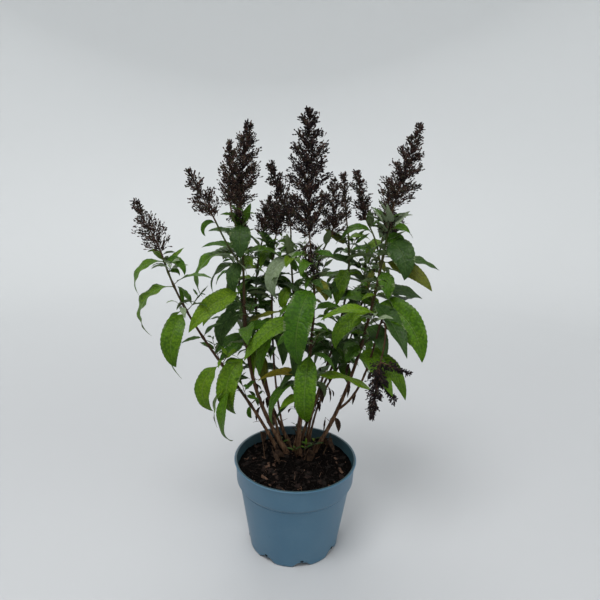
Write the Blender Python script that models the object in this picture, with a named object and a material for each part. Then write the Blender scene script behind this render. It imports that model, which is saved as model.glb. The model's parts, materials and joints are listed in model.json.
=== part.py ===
"""Butterfly bush in a round nursery pot, after flowering.

A clump of eleven thin woody stems rises from one root crown in a 17 cm pot. Each stem is bare at
its foot and carries a leafy shoot above, and most shoots end in a spent seed head. Shapes are laid
out in centimetres with +Z up and +Y away from the front, and turned into metres when they are made.
The origin is the centre of the pot's flat underside.
"""

import math
import random
from dataclasses import dataclass, field, replace

import bmesh
import bpy
import numpy as np
from mathutils import Vector
from mathutils.bvhtree import BVHTree

CM = 0.01
GAP = 0.03
SEED = 17

# Base colours
PLASTIC_COLOUR = (0.075, 0.155, 0.235)
SOIL_COLOUR = (0.022, 0.015, 0.011)
BARK_COLOUR = (0.10, 0.055, 0.03)
LEAF_COLOUR = (0.075, 0.18, 0.03)
POD_COLOUR = (0.035, 0.022, 0.022)

# Pot, in centimetres
POT_SIDES = 40
RIM_RADIUS = 8.5
POT_HEIGHT = 12.9
BASE_RADIUS = 6.3
WALL = 0.16
FLOOR_THICKNESS = 0.75
BAND_FOOT_HEIGHT = 9.9
CREASE_HEIGHT = 9.3
BAND_FOOT_RADIUS = 8.12
CREASE_RADIUS = 7.8
LIP_THICKNESS = 0.25
FOOT_RING_INNER_RADIUS = 5.1
UNDERSIDE_RADIUS = 4.9
FOOT_TURN_HEIGHT = 0.7
NOTCH_COUNT = 8
NOTCH_HEIGHT = 0.4
NOTCH_SHARE = 0.4
DRAIN_RADIUS = 0.35
DRAIN_CIRCLE_RADIUS = 4.3
DRAIN_SIDES = 8
DRAIN_BORE = (-0.5, 1.5)
LIP_ROUNDING = 0.02
LIP_FOOT_DROP = 0.14
LIP_UNDERSIDE_DROP = 0.24
LIP_UNDERSIDE_STEP = 0.05
INNER_LIP_DROP = 0.1
FOOT_STEP = 0.1

# Potting soil, in centimetres
SOIL_TOP = 11.7
SOIL_SIDES = 36
SOIL_RINGS = 5
SOIL_BUMP = 0.28
SOIL_EASE = 0.02
CROWN = (0.3, 3.5)
CROWN_PATCH_RADIUS = 3.4

# Stems and leaves
LIMB_SIDES = 6
SHOOT_SIDES = 4
TWIG_SIDES = 3
LIMB_STEPS = 8
SEAT_STEP = 0.0005
SHOOT_STEPS = 7
TWIG_STEPS = 4
STEM_TAPER = 0.8
FLARE = 0.45
FLARE_HEIGHT = 0.9
TWIG_RADIUS = 0.11
SHOOT_TIP_RADIUS = 0.11
LEAF_STATIONS = (0.0, 0.3, 0.65, 1.0)
SMALL_LEAF_STATIONS = (0.0, 0.45, 1.0)
BLADE_START = 0.25
ROOT_SINK = 0.4
BIG_LEAF = 5.8
STRONG_DROOP = 90
PETIOLE_HALF_WIDTH = 0.08
PETIOLE_THICKNESS = 0.1
BLADE_FOLD = 0.16
BLADE_THICKNESS = 0.07
CLEARANCE = 0.05
LEAF_TURNS = (0, 8, -8, 16, -16, 26, -26)
LEAF_LIFTS = (0, 12, -12)
LEAF_BEND_STEPS = 12
BLADE_SHIFT = 0.85
BLADE_ROUNDING = 0.9

# Leaves that grow by rule: the one opposite a leaf, in shares of its length and in degrees
PARTNER_WIDTH = (0.24, 0.3)
PARTNER_RISE = (10, 35)
PARTNER_DROOP = (60, 110)
PARTNER_ROLL = (-30, 30)

# The crossed pairs up a shoot, in shares of the shoot, centimetres and degrees
PAIR_TOP = 0.97
PAIR_OFFSET = 0.6
PAIR_TURN = (-15, 15)
PAIR_LENGTH = (5.5, 8.5)
PAIR_FOOT_GROWTH = 1.15
PAIR_TIP_LOSS = 0.4
PAIR_WIDTH = (0.24, 0.32)
PAIR_RISE = (5, 40)
PAIR_DROOP = (50, 120)
PAIR_ROLL = (-35, 35)

# The small pair in each axil, in centimetres and degrees
AXIL_LEAF_LENGTH = (1.6, 3.0)
AXIL_LEAF_WIDTH = 0.3
AXIL_SPACING = 0.15
AXIL_TOWARD = 40
AXIL_TURN = (-20, 20)
AXIL_RISE = (30, 65)
AXIL_DROOP = (0, 60)

# Seed heads
CORE_SIDES = 4
CORE_STEPS = 5
CORE_SHARE = 0.55
CORE_START = 0.05
CORE_END = 0.97
STALK_RADIUS = 0.12
STALK_SHARE = 0.09
HEAD_LOW_PULL = 0.25
HEAD_HIGH_PULL = 0.35
HEAD_FOOT_BREADTH = 0.6
HEAD_FOOT_GROWTH = 2.5
HEAD_TIP_LOSS = 0.6
HEAD_TIP_POWER = 1.6
CLUSTER_START = 0.03
CLUSTER_END = 0.93
CLUSTER_RISE = 0.85
CLUSTER_RISE_SPREAD = (0.7, 1.3)
CLUSTER_TURN = 137.5
CLUSTER_TURN_SPREAD = (-15, 15)
CLUSTER_REACH_SPREAD = (0.85, 1.1)
CLUSTER_PITCH = 0.48
CLUSTER_WIDTH = 0.8
SPUR_AT = 0.32
SPUR_STEP = 0.2
SPUR_PITCH = 0.8
SPUR_BREADTH = 0.45


@dataclass
class Leaf:
    """One leaf: place along its stem, compass direction, angles in degrees and sizes in cm.

    The partner is the length of the leaf opposite, and the roll turns the blade about its midrib.
    """

    at: float
    toward: float
    rise: float
    droop: float
    long: float
    wide: float
    partner: float = 0.0
    roll: float = 0.0


@dataclass
class Head:
    """A spent seed head at the end of a stem, with its tip and widest breadth in cm."""

    name: str
    tip: tuple
    wide: float
    spurs: tuple = ()


@dataclass
class Twig:
    """A side twig that leaves a shoot, drawn by two pulls and a tip in cm."""

    at: float
    pull_low: tuple
    pull_high: tuple
    tip: tuple
    leaves: list = field(default_factory=list)
    head: Head = None


@dataclass
class Stem:
    """One stem from the root crown: bare limb below, leafy shoot above, drawn by two pulls."""

    name: str
    foot: tuple
    pull_low: tuple
    pull_high: tuple
    tip: tuple
    thick: float
    bare: float
    leaves: list
    pairs: int = 0
    pair_turn: float = 0.0
    twigs: list = field(default_factory=list)
    head: Head = None
    parent: str = ""


STEMS = [
    Stem(
        "far_left",
        foot=(-2.3, 1.9, SOIL_TOP),
        pull_low=(-6.3, 1.0, 22.0),
        pull_high=(-14.5, -0.1, 30.0),
        tip=(-17.1, -1.0, 40.5),
        thick=0.25,
        bare=0.25,
        leaves=[
            Leaf(0.985, 190, 15, 140, 7.0, 1.9, roll=-30),
            Leaf(0.985, 345, 40, 140, 4.0, 1.1, roll=60),
            Leaf(0.88, 195, 10, 150, 9.5, 2.6, roll=-20),
            Leaf(0.89, 340, 40, 55, 6.0, 1.6, roll=10),
            Leaf(0.94, 60, 35, 110, 2.5, 0.7, roll=80),
            Leaf(0.77, 240, -20, 105, 8.5, 2.7, roll=-35),
            Leaf(0.78, 155, -25, 120, 12.0, 2.0, roll=-55),
            Leaf(0.80, 240, 85, 20, 2.5, 0.8, roll=-80),
            Leaf(0.64, 190, 5, 40, 3.0, 0.8, roll=-20),
            Leaf(0.64, 20, 70, 75, 3.5, 0.9, roll=15),
            Leaf(0.50, 210, -15, 130, 8.5, 2.3, partner=4.5, roll=-50),
            Leaf(0.43, 200, -40, 70, 8.0, 2.2),
            Leaf(0.40, 240, -25, 130, 11.0, 1.9, partner=4.0, roll=15),
            Leaf(0.28, 240, -55, 90, 2.5, 0.7, roll=-30),
        ],
        head=Head("far_left", tip=(-20.2, -1.5, 47.7), wide=4.6),
    ),
    Stem(
        "left_main",
        foot=(-1.2, 2.6, SOIL_TOP),
        pull_low=(-9.5, 2.4, 25.0),
        pull_high=(-6.5, 2.2, 34.0),
        tip=(-7.9, 2.0, 45.8),
        thick=0.33,
        bare=0.36,
        leaves=[
            Leaf(0.42, 225, -10, 130, 10.5, 3.0, partner=6.5, roll=-45),
            Leaf(0.84, 190, 35, 160, 10.5, 2.8, roll=-15),
            Leaf(0.86, 190, 35, 55, 5.5, 1.5, roll=-20),
            Leaf(0.80, 175, 25, 135, 7.0, 1.9, roll=-15),
            Leaf(0.70, 215, 0, 60, 9.5, 2.6, partner=6.0, roll=-55),
            Leaf(0.97, 275, -10, 100, 5.5, 2.8, partner=6.0),
            Leaf(0.84, 310, 10, 60, 2.5, 1.1, roll=45),
            Leaf(0.82, 235, -5, 130, 5.0, 1.9, partner=4.5, roll=-35),
            Leaf(0.96, 220, 45, -15, 2.5, 1.3, roll=-80),
            Leaf(0.96, 320, 55, -10, 3.5, 1.4, roll=80),
            Leaf(0.61, 190, -5, 105, 6.5, 2.4, roll=-70),
            Leaf(0.58, 170, 10, 30, 5.5, 1.5, roll=-10),
            Leaf(0.65, 200, 0, 55, 3.0, 1.4, roll=-65),
            Leaf(0.48, 205, -10, 40, 4.5, 1.6, partner=4.0, roll=-55),
            Leaf(0.56, 0, 35, 30, 5.5, 1.5, roll=15),
            Leaf(0.55, 315, 10, -20, 5.0, 1.4, roll=70),
        ],
        pairs=2,
        pair_turn=95,
        twigs=[
            Twig(
                at=0.80,
                pull_low=(-8.8, 0.5, 41.0),
                pull_high=(-9.6, -1.5, 43.5),
                tip=(-10.2, -2.5, 45.2),
                leaves=[Leaf(0.97, 200, 35, 170, 3.0, 0.8, roll=-40)],
                head=Head("left_small", tip=(-13.2, -3.5, 51.2), wide=3.8),
            ),
            Twig(
                at=0.90,
                pull_low=(-8.0, 1.6, 43.6),
                pull_high=(-8.4, 0.7, 44.8),
                tip=(-8.7, 0.3, 46.3),
                head=Head("left_side", tip=(-8.8, -0.4, 54.8), wide=3.2),
            ),
        ],
        head=Head("left_main", tip=(-6.8, 2.5, 57.4), wide=6.0),
    ),
    Stem(
        "left_second",
        foot=(-1.9, 3.7, SOIL_TOP),
        pull_low=(-4.6, 5.1, 21.5),
        pull_high=(-7.7, 7.1, 31.5),
        tip=(-5.5, 8.5, 41.7),
        thick=0.22,
        bare=0.45,
        leaves=[
            Leaf(0.69, 150, 60, 60, 2.5, 1.0, roll=-50),
            Leaf(0.69, 30, 10, -20, 3.0, 1.1, roll=60),
            Leaf(0.73, 65, 45, 45, 4.5, 1.4, roll=35),
            Leaf(0.75, 150, 40, -15, 2.5, 1.3, roll=-45),
            Leaf(0.94, 335, 55, 150, 3.0, 1.2, roll=65),
            Leaf(0.91, 350, -5, 30, 2.5, 1.0, roll=70),
        ],
        pairs=5,
        pair_turn=70,
        head=Head("back_left", tip=(-4.4, 9.5, 48.2), wide=4.2),
    ),
    Stem(
        "left_thin",
        foot=(-0.6, 4.0, SOIL_TOP),
        pull_low=(-4.0, 4.6, 16.5),
        pull_high=(-4.2, 5.4, 39.5),
        tip=(-3.5, 6.6, 42.3),
        thick=0.17,
        bare=0.42,
        leaves=[
            Leaf(0.54, 320, -30, 75, 5.5, 1.5, roll=25),
            Leaf(0.54, 230, -25, 120, 4.0, 1.1, roll=-35),
            Leaf(0.86, 200, 80, 30, 4.0, 1.3, roll=-80),
        ],
        pairs=3,
        pair_turn=60,
        head=Head("middle_left_small", tip=(-3.4, 8.0, 47.5), wide=3.6),
    ),
    Stem(
        "centre_left",
        foot=(-0.2, 3.0, SOIL_TOP),
        pull_low=(2.0, 3.4, 22.0),
        pull_high=(-1.2, 4.0, 32.5),
        tip=(-1.3, 4.5, 43.3),
        thick=0.24,
        bare=0.45,
        leaves=[
            Leaf(0.90, 250, 55, -15, 4.0, 1.3, roll=15),
            Leaf(0.90, 320, -65, -10, 2.0, 1.0, roll=40),
            Leaf(0.90, 170, -10, 15, 3.0, 0.9, roll=-75),
            Leaf(0.90, 220, 5, 140, 7.5, 2.0, roll=-45),
            Leaf(0.77, 220, 5, 145, 4.0, 1.6, partner=4.0, roll=-45),
            Leaf(0.77, 160, 15, -15, 3.0, 1.3, roll=-60),
            Leaf(0.77, 20, 50, 20, 2.0, 1.0, roll=60),
        ],
        pairs=3,
        pair_turn=80,
        head=Head("middle_left", tip=(-4.3, 5.6, 52.8), wide=3.8),
    ),
    Stem(
        "centre",
        foot=(0.6, 2.1, SOIL_TOP),
        pull_low=(-0.3, 0.6, 18.0),
        pull_high=(3.2, -1.0, 32.0),
        tip=(1.4, 0.8, 41.5),
        thick=0.34,
        bare=0.32,
        leaves=[
            Leaf(0.72, 210, 15, 75, 11.5, 3.1, partner=6.5, roll=-10),
            Leaf(0.48, 190, 25, 60, 7.0, 1.9, roll=-15),
            Leaf(0.48, 350, 20, 65, 10.5, 2.8, roll=-5),
            Leaf(0.45, 210, 25, 145, 9.5, 1.8, partner=5.0),
            Leaf(0.37, 230, 35, 70, 5.0, 1.4, partner=3.0, roll=-15),
            Leaf(0.85, 245, -5, 125, 12.5, 3.6, partner=8.0, roll=-15),
            Leaf(0.59, 260, -10, 140, 12.5, 3.0, partner=7.5),
            Leaf(0.85, 150, 45, 0, 4.0, 1.1, roll=-10),
            Leaf(0.86, 310, 25, 125, 3.5, 1.6, roll=45),
            Leaf(0.96, 202, 60, 105, 3.5, 1.2, roll=-30),
            Leaf(0.96, 335, 65, 110, 3.5, 1.2, roll=30),
            Leaf(0.93, 240, 60, 140, 4.5, 1.5, roll=-20),
        ],
        twigs=[
            Twig(
                at=0.86,
                pull_low=(2.2, 1.6, 39.5),
                pull_high=(2.9, 2.8, 41.5),
                tip=(3.8, 3.5, 42.8),
                leaves=[Leaf(0.80, 280, 60, 30, 3.5, 1.0, roll=-15)],
                head=Head("middle_right", tip=(4.3, 5.0, 50.8), wide=4.4),
            ),
        ],
        head=Head("centre", tip=(0.6, 1.0, 59.2), wide=6.8),
    ),
    Stem(
        "centre_right",
        foot=(1.6, 3.9, SOIL_TOP),
        pull_low=(2.1, 5.4, 22.0),
        pull_high=(9.0, 7.5, 31.0),
        tip=(6.7, 9.0, 44.5),
        thick=0.21,
        bare=0.43,
        leaves=[
            Leaf(0.71, 230, 85, 150, 6.5, 1.8, roll=-60),
            Leaf(0.52, 190, 80, 135, 4.5, 1.3, roll=-70),
            Leaf(0.48, 215, 60, 135, 5.0, 1.5, roll=-55),
            Leaf(0.58, 10, 80, 85, 3.0, 1.2, roll=60),
            Leaf(0.84, 240, -20, 70, 6.5, 2.3, partner=5.0, roll=-20),
            Leaf(0.82, 190, -5, 0, 5.0, 1.4, roll=-20),
            Leaf(0.93, 200, 25, -10, 4.5, 1.2, roll=-65),
        ],
        pairs=3,
        pair_turn=65,
        head=Head("right_small", tip=(5.9, 10.0, 51.8), wide=2.3),
    ),
    Stem(
        "right_thin",
        foot=(2.0, 5.0, SOIL_TOP),
        pull_low=(3.9, 7.1, 25.0),
        pull_high=(8.1, 9.9, 17.5),
        tip=(10.2, 12.0, 38.5),
        thick=0.17,
        bare=0.5,
        leaves=[
            Leaf(0.97, 265, -15, 60, 6.0, 1.2),
            Leaf(0.98, 190, 35, 30, 7.0, 1.9, partner=5.0, roll=-30),
            Leaf(0.70, 200, -75, -20, 3.5, 0.9, roll=-40),
            Leaf(0.99, 60, 70, 40, 4.5, 1.2, roll=15),
        ],
        pairs=4,
        pair_turn=100,
    ),
    Stem(
        "right_main",
        foot=(2.7, 2.9, SOIL_TOP),
        pull_low=(8.6, 2.6, 22.0),
        pull_high=(10.2, 2.3, 35.5),
        tip=(11.6, 2.0, 46.2),
        thick=0.33,
        bare=0.43,
        leaves=[
            Leaf(0.66, 315, 10, 95, 11.5, 3.6, partner=8.0, roll=50),
            Leaf(0.67, 290, -10, 40, 10.5, 2.8, partner=7.0, roll=5),
            Leaf(0.71, 20, 5, 35, 8.0, 2.2, roll=40),
            Leaf(0.69, 30, -15, -15, 7.5, 2.0, roll=15),
            Leaf(0.84, 340, 10, 40, 7.5, 2.0, roll=25),
            Leaf(0.82, 325, 5, 55, 8.0, 2.2, partner=6.0, roll=45),
            Leaf(0.88, 295, 30, 140, 7.5, 3.2, partner=6.0, roll=40),
            Leaf(0.89, 320, 65, 130, 3.5, 1.5, roll=75),
            Leaf(0.93, 20, 40, 100, 4.5, 1.2, roll=20),
            Leaf(0.48, 290, 0, 45, 9.5, 2.6, partner=7.0, roll=15),
            Leaf(0.48, 316, 5, 80, 10.0, 2.4, roll=30),
            Leaf(0.57, 290, 15, 85, 6.5, 2.3, partner=5.5, roll=30),
            Leaf(0.49, 215, -10, 50, 3.5, 1.8, roll=-40),
            Leaf(0.60, 200, 20, 120, 7.5, 2.3, roll=-55),
            Leaf(0.57, 160, 15, 120, 5.0, 1.4, roll=-70),
            Leaf(0.78, 290, -5, 95, 4.5, 2.1, partner=5.0, roll=25),
            Leaf(0.95, 200, 45, 0, 3.5, 1.2, roll=-40),
            Leaf(0.95, 330, 45, 5, 3.5, 1.3, roll=40),
            Leaf(0.96, 260, 40, 0, 3.0, 1.1),
            Leaf(0.96, 80, 45, 20, 3.5, 1.1),
        ],
        twigs=[
            Twig(
                at=0.79,
                pull_low=(10.7, 3.4, 41.0),
                pull_high=(10.3, 4.9, 43.0),
                tip=(9.4, 6.0, 44.6),
                leaves=[
                    Leaf(0.80, 185, 50, 130, 5.5, 1.5, roll=-30),
                    Leaf(0.92, 250, 70, 20, 3.0, 1.1, roll=5),
                    Leaf(0.95, 330, 40, 10, 3.0, 1.1, roll=30),
                ],
                head=Head("middle_right_back", tip=(7.4, 7.5, 52.0), wide=3.3),
            ),
        ],
        head=Head("right_main", tip=(14.3, 1.0, 57.6), wide=6.6),
    ),
    Stem(
        "lower_right",
        foot=(6.0, 2.6, 18.8),
        pull_low=(9.7, 1.0, 22.0),
        pull_high=(9.8, -0.7, 30.0),
        tip=(10.6, -2.0, 33.7),
        thick=0.19,
        bare=0.62,
        leaves=[
            Leaf(0.98, 200, 40, 75, 9.0, 2.4, roll=-10),
            Leaf(0.90, 330, 20, 90, 5.0, 1.4, roll=60),
        ],
        twigs=[
            Twig(
                at=0.93,
                pull_low=(10.9, -3.4, 34.2),
                pull_high=(10.8, -4.4, 31.8),
                tip=(10.4, -4.2, 29.4),
                head=Head(
                    "lower_right",
                    tip=(9.5, -4.6, 20.8),
                    wide=2.9,
                    spurs=((12.6, -4.2, 22.9), (14.2, -4.3, 27.0)),
                ),
            ),
        ],
        parent="right_main",
    ),
    Stem(
        "rear_left",
        foot=(-0.9, 5.2, SOIL_TOP),
        pull_low=(-5.2, 6.9, 19.5),
        pull_high=(-10.1, 9.3, 32.5),
        tip=(-9.2, 11.0, 44.4),
        thick=0.24,
        bare=0.35,
        leaves=[],
        pairs=9,
        pair_turn=20,
        head=Head("rear_left", tip=(-9.2, 12.0, 50.6), wide=3.5),
    ),
    Stem(
        "rear_right",
        foot=(0.7, 5.1, SOIL_TOP),
        pull_low=(2.8, 7.1, 20.0),
        pull_high=(11.7, 9.9, 33.5),
        tip=(12.6, 12.0, 43.9),
        thick=0.24,
        bare=0.35,
        leaves=[],
        pairs=9,
        pair_turn=50,
        head=Head("rear_right", tip=(13.5, 13.0, 49.5), wide=3.5),
    ),
]


def substance(name, colour, roughness):
    """A plain surface finish with the given colour and roughness."""
    material = bpy.data.materials.new(name)
    material.use_nodes = True
    shader = material.node_tree.nodes["Principled BSDF"]
    shader.inputs["Base Color"].default_value = (*colour, 1.0)
    shader.inputs["Roughness"].default_value = roughness
    shader.inputs["Metallic"].default_value = 0.0
    return material


def make_object(name, vertices, faces, material, smooth_angle=40.0):
    """A closed object from points in centimetres, shaded smooth below the given edge angle."""
    mesh = bpy.data.meshes.new(name)
    mesh.from_pydata((np.asarray(vertices) * CM).tolist(), [], faces)
    mesh.materials.append(material)
    mesh.shade_smooth()
    mesh.set_sharp_from_angle(angle=math.radians(smooth_angle))
    thing = bpy.data.objects.new(name, mesh)
    bpy.context.scene.collection.objects.link(thing)
    return thing


def bezier(ends, share):
    """Point of the cubic curve through four handles, at a share of its length from 0 to 1."""
    start, low, high, end = (np.array(point, dtype=float) for point in ends)
    rest = 1.0 - share
    return rest**3 * start + 3 * rest**2 * share * low + 3 * rest * share**2 * high + share**3 * end


def bezier_direction(ends, share):
    """Unit direction of the cubic curve at the given share."""
    step = 1e-3
    ahead = bezier(ends, min(share + step, 1.0)) - bezier(ends, max(share - step, 0.0))
    return ahead / np.linalg.norm(ahead)


def stem_ends(stem):
    """The four handles of a stem's curve."""
    return (stem.foot, stem.pull_low, stem.pull_high, stem.tip)


def twig_ends(stem, twig):
    """The four handles of a side twig's curve, which starts on its stem's axis."""
    return (tuple(bezier(stem_ends(stem), twig.at)), twig.pull_low, twig.pull_high, twig.tip)


def stem_radius(stem, share):
    """Radius of a stem, tapering from its foot to its tip and flaring at the soil."""
    radius = stem.thick + (SHOOT_TIP_RADIUS - stem.thick) * share**STEM_TAPER
    if not stem.parent:
        height = bezier(stem_ends(stem), share)[2] - SOIL_TOP
        radius *= 1.0 + FLARE * math.exp(-height / FLARE_HEIGHT)
    return radius


def across(direction):
    """Two unit vectors at right angles to a direction and to each other."""
    helper = np.array((0.0, 1.0, 0.0))
    if abs(direction[1]) > 0.9:
        helper = np.array((1.0, 0.0, 0.0))
    side = np.cross(helper, direction)
    side /= np.linalg.norm(side)
    return side, np.cross(direction, side)


def skin(rings, closed_tip=False):
    """Vertices and faces of a solid whose rings follow each other, with flat or pointed ends.

    Each side is split in two, so that every face is level whatever the twist between the rings.
    """
    count = len(rings[0])
    vertices = [point for ring in rings for point in ring]
    faces = []
    for row in range(len(rings) - 1):
        low = row * count
        for i in range(count):
            j = (i + 1) % count
            faces.append((low + i, low + j, low + count + j))
            faces.append((low + i, low + count + j, low + count + i))
    faces.append(tuple(range(count - 1, -1, -1)))
    last = (len(rings) - 1) * count
    if closed_tip:
        faces = faces[: (len(rings) - 2) * count * 2] + [faces[-1]]
        vertices = vertices[:last] + [np.mean(rings[-1], axis=0)]
        for i in range(count):
            faces.append((last - count + i, last - count + (i + 1) % count, last))
    else:
        faces.append(tuple(range(last, last + count)))
    return np.array(vertices), faces


def tube(points, radii, sides, flat_foot=False, pointed=False):
    """A tapering limb through the points; a flat foot is cut level with the ground."""
    points = np.asarray(points)
    rings = []
    for i, point in enumerate(points):
        before = points[max(i - 1, 0)]
        after = points[min(i + 1, len(points) - 1)]
        direction = (after - before) / np.linalg.norm(after - before)
        if flat_foot and i == 0:
            direction = np.array((0.0, 0.0, 1.0))
        side, front = across(direction)
        angles = np.arange(sides) * 2 * math.pi / sides
        rings.append(
            [point + radii[i] * (math.cos(a) * side + math.sin(a) * front) for a in angles]
        )
    return skin(rings, pointed)


def leaf_axis(root, leaf, length, share):
    """Point, direction and side of a leaf, whose midrib bends evenly in an upright plane."""
    heading = math.radians(leaf.toward)
    point = np.array(root, dtype=float)
    for i in range(LEAF_BEND_STEPS):
        slope = math.radians(leaf.rise - leaf.droop * share * (i + 0.5) / LEAF_BEND_STEPS)
        stride = length * share / LEAF_BEND_STEPS
        point = point + stride * np.array(
            (
                math.cos(slope) * math.cos(heading),
                math.cos(slope) * math.sin(heading),
                math.sin(slope),
            )
        )
    slope = math.radians(leaf.rise - leaf.droop * share)
    direction = np.array(
        (
            math.cos(slope) * math.cos(heading),
            math.cos(slope) * math.sin(heading),
            math.sin(slope),
        )
    )
    level = np.array((-math.sin(heading), math.cos(heading), 0.0))
    roll = math.radians(leaf.roll)
    side = math.cos(roll) * level + math.sin(roll) * np.cross(direction, level)
    return point, direction, side


def blade_width(share):
    """Breadth of a lance-shaped blade as a share of its widest, from stalk to tip."""
    if not 0.0 < share < 1.0:
        return 0.0
    return math.sin(math.pi * share**BLADE_SHIFT) ** BLADE_ROUNDING


def leaf_solid(root, leaf, grow=0.0, first=0.0):
    """A folded, tapering blade with a three-cornered section that ends in a point."""
    bends = leaf.long > BIG_LEAF or leaf.droop > STRONG_DROOP
    stations = LEAF_STATIONS if bends else SMALL_LEAF_STATIONS
    stations = [first] + [share for share in stations if share > first]
    rings = []
    for share in stations:
        point, direction, side = leaf_axis(root, leaf, leaf.long + grow, share)
        top = np.cross(direction, side)
        half = max(leaf.wide / 2 * blade_width(share), PETIOLE_HALF_WIDTH) + grow
        body = BLADE_THICKNESS if share > 0 else PETIOLE_THICKNESS
        lift = half * BLADE_FOLD + grow
        rings.append(
            [
                point - side * half + top * lift,
                point - top * (body + grow),
                point + side * half + top * lift,
            ]
        )
    return skin(rings, closed_tip=True)


def cluster_solid(start, direction, length, width, grow=0.0):
    """A three-sided spike of seed pods, broad inside the core and pointed outside it."""
    side, front = across(direction)
    radius = width / 2 + grow
    angles = [math.radians(90 + 120 * i) for i in range(3)]
    root = [start + radius * (math.cos(a) * side + math.sin(a) * front) for a in angles]
    tip = start + direction * (length + grow)
    return skin([root, [tip] * 3], closed_tip=True)


class Room:
    """Keeps each placed solid's surface, so that a new one can be tested against its neighbours."""

    def __init__(self):
        self.taken = []

    def claim(self, owner, solid, blade=None):
        """Note a solid, and the blade of a leaf apart from its stalk."""
        self.taken.append((owner, Surface(solid), Surface(blade) if blade else None))

    def is_clear(self, owner, solid, blade=None):
        """True where the solid touches no other owner's, and its blade none of its own."""
        whole = Surface(solid)
        own = Surface(blade) if blade else None
        for other, surface, other_blade in self.taken:
            if other != owner and whole.meets(surface):
                return False
            if other == owner and own and other_blade and own.meets(other_blade):
                return False
        return True


class Surface:
    """The faces of one solid, with their bounds, for quick tests of touching."""

    def __init__(self, solid):
        vertices, faces = solid
        self.low = vertices.min(axis=0)
        self.high = vertices.max(axis=0)
        self.tree = BVHTree.FromPolygons([Vector(point) for point in vertices], faces)

    def meets(self, other):
        """True where any two faces cross."""
        if np.any(self.low > other.high) or np.any(other.low > self.high):
            return False
        return bool(self.tree.overlap(other.tree))

    def gap_to(self, solid):
        """Least distance from a solid's corners to this surface."""
        return min(self.tree.find_nearest(Vector(point))[3] for point in solid[0])


def fuse(name, solids, material):
    """Join a list of solids into one closed object and keep only its largest shell."""
    for solver in ("EXACT", "MANIFOLD"):
        joined = union_of(name, solids, material, solver)
        if is_closed(joined.data):
            return joined
        bpy.data.objects.remove(joined)
    raise ValueError(name + " does not close")


def is_closed(mesh):
    """True where every edge joins exactly two faces."""
    shape = bmesh.new()
    shape.from_mesh(mesh)
    closed = all(len(edge.link_faces) == 2 for edge in shape.edges)
    shape.free()
    return closed


def union_of(name, solids, material, solver):
    """One Boolean union of the first solid with a collection of the others, applied."""
    base = make_object(name, *solids[0], material)
    group = bpy.data.collections.new(name + "_pieces")
    for i, (vertices, faces) in enumerate(solids[1:]):
        piece = make_object(f"{name}_piece_{i}", vertices, faces, material)
        bpy.context.scene.collection.objects.unlink(piece)
        group.objects.link(piece)
    bpy.context.scene.collection.children.link(group)
    union = base.modifiers.new("union", "BOOLEAN")
    union.operation = "UNION"
    union.operand_type = "COLLECTION"
    union.collection = group
    union.solver = solver
    graph = bpy.context.evaluated_depsgraph_get()
    mesh = bpy.data.meshes.new_from_object(base.evaluated_get(graph))
    base.modifiers.remove(union)
    base.data = mesh
    mesh.name = name
    for piece in list(group.objects):
        bpy.data.objects.remove(piece)
    bpy.data.collections.remove(group)
    keep_largest_shell(mesh)
    return base


def keep_largest_shell(mesh):
    """Drop loose scraps and sealed hollows."""
    shape = bmesh.new()
    shape.from_mesh(mesh)
    unseen = set(shape.verts)
    shells = []
    while unseen:
        shell = set()
        edge_of_search = [unseen.pop()]
        while edge_of_search:
            vertex = edge_of_search.pop()
            shell.add(vertex)
            for edge in vertex.link_edges:
                neighbour = edge.other_vert(vertex)
                if neighbour in unseen:
                    unseen.remove(neighbour)
                    edge_of_search.append(neighbour)
        shells.append(shell)
    largest = max(shells, key=len)
    scraps = [vertex for shell in shells if shell is not largest for vertex in shell]
    bmesh.ops.delete(shape, geom=scraps, context="VERTS")
    bmesh.ops.triangulate(shape, faces=shape.faces)
    shape.to_mesh(mesh)
    shape.free()


def turned(profile, sides):
    """Vertices and faces of a profile turned round Z, from axis to axis."""
    vertices = [np.array((0.0, 0.0, profile[0][1]))]
    for radius, height in profile[1:-1]:
        for i in range(sides):
            angle = 2 * math.pi * i / sides
            vertices.append(
                np.array((radius * math.cos(angle), radius * math.sin(angle), height))
            )
    vertices.append(np.array((0.0, 0.0, profile[-1][1])))
    faces = []
    rows = len(profile) - 2
    for i in range(sides):
        j = (i + 1) % sides
        faces.append((0, 1 + i, 1 + j))
        for row in range(rows - 1):
            low = 1 + row * sides
            faces.append((low + i, low + sides + i, low + sides + j, low + j))
        low = 1 + (rows - 1) * sides
        faces.append((low + j, low + i, len(vertices) - 1))
    return vertices, faces


def inner_wall():
    """Radius and height of the pot's inner wall, from its floor to its lip."""
    return [
        (BASE_RADIUS - WALL - FOOT_STEP, FLOOR_THICKNESS),
        (CREASE_RADIUS - WALL, CREASE_HEIGHT),
        (BAND_FOOT_RADIUS - WALL, BAND_FOOT_HEIGHT),
        (RIM_RADIUS - LIP_THICKNESS - WALL, POT_HEIGHT - INNER_LIP_DROP),
    ]


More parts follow.
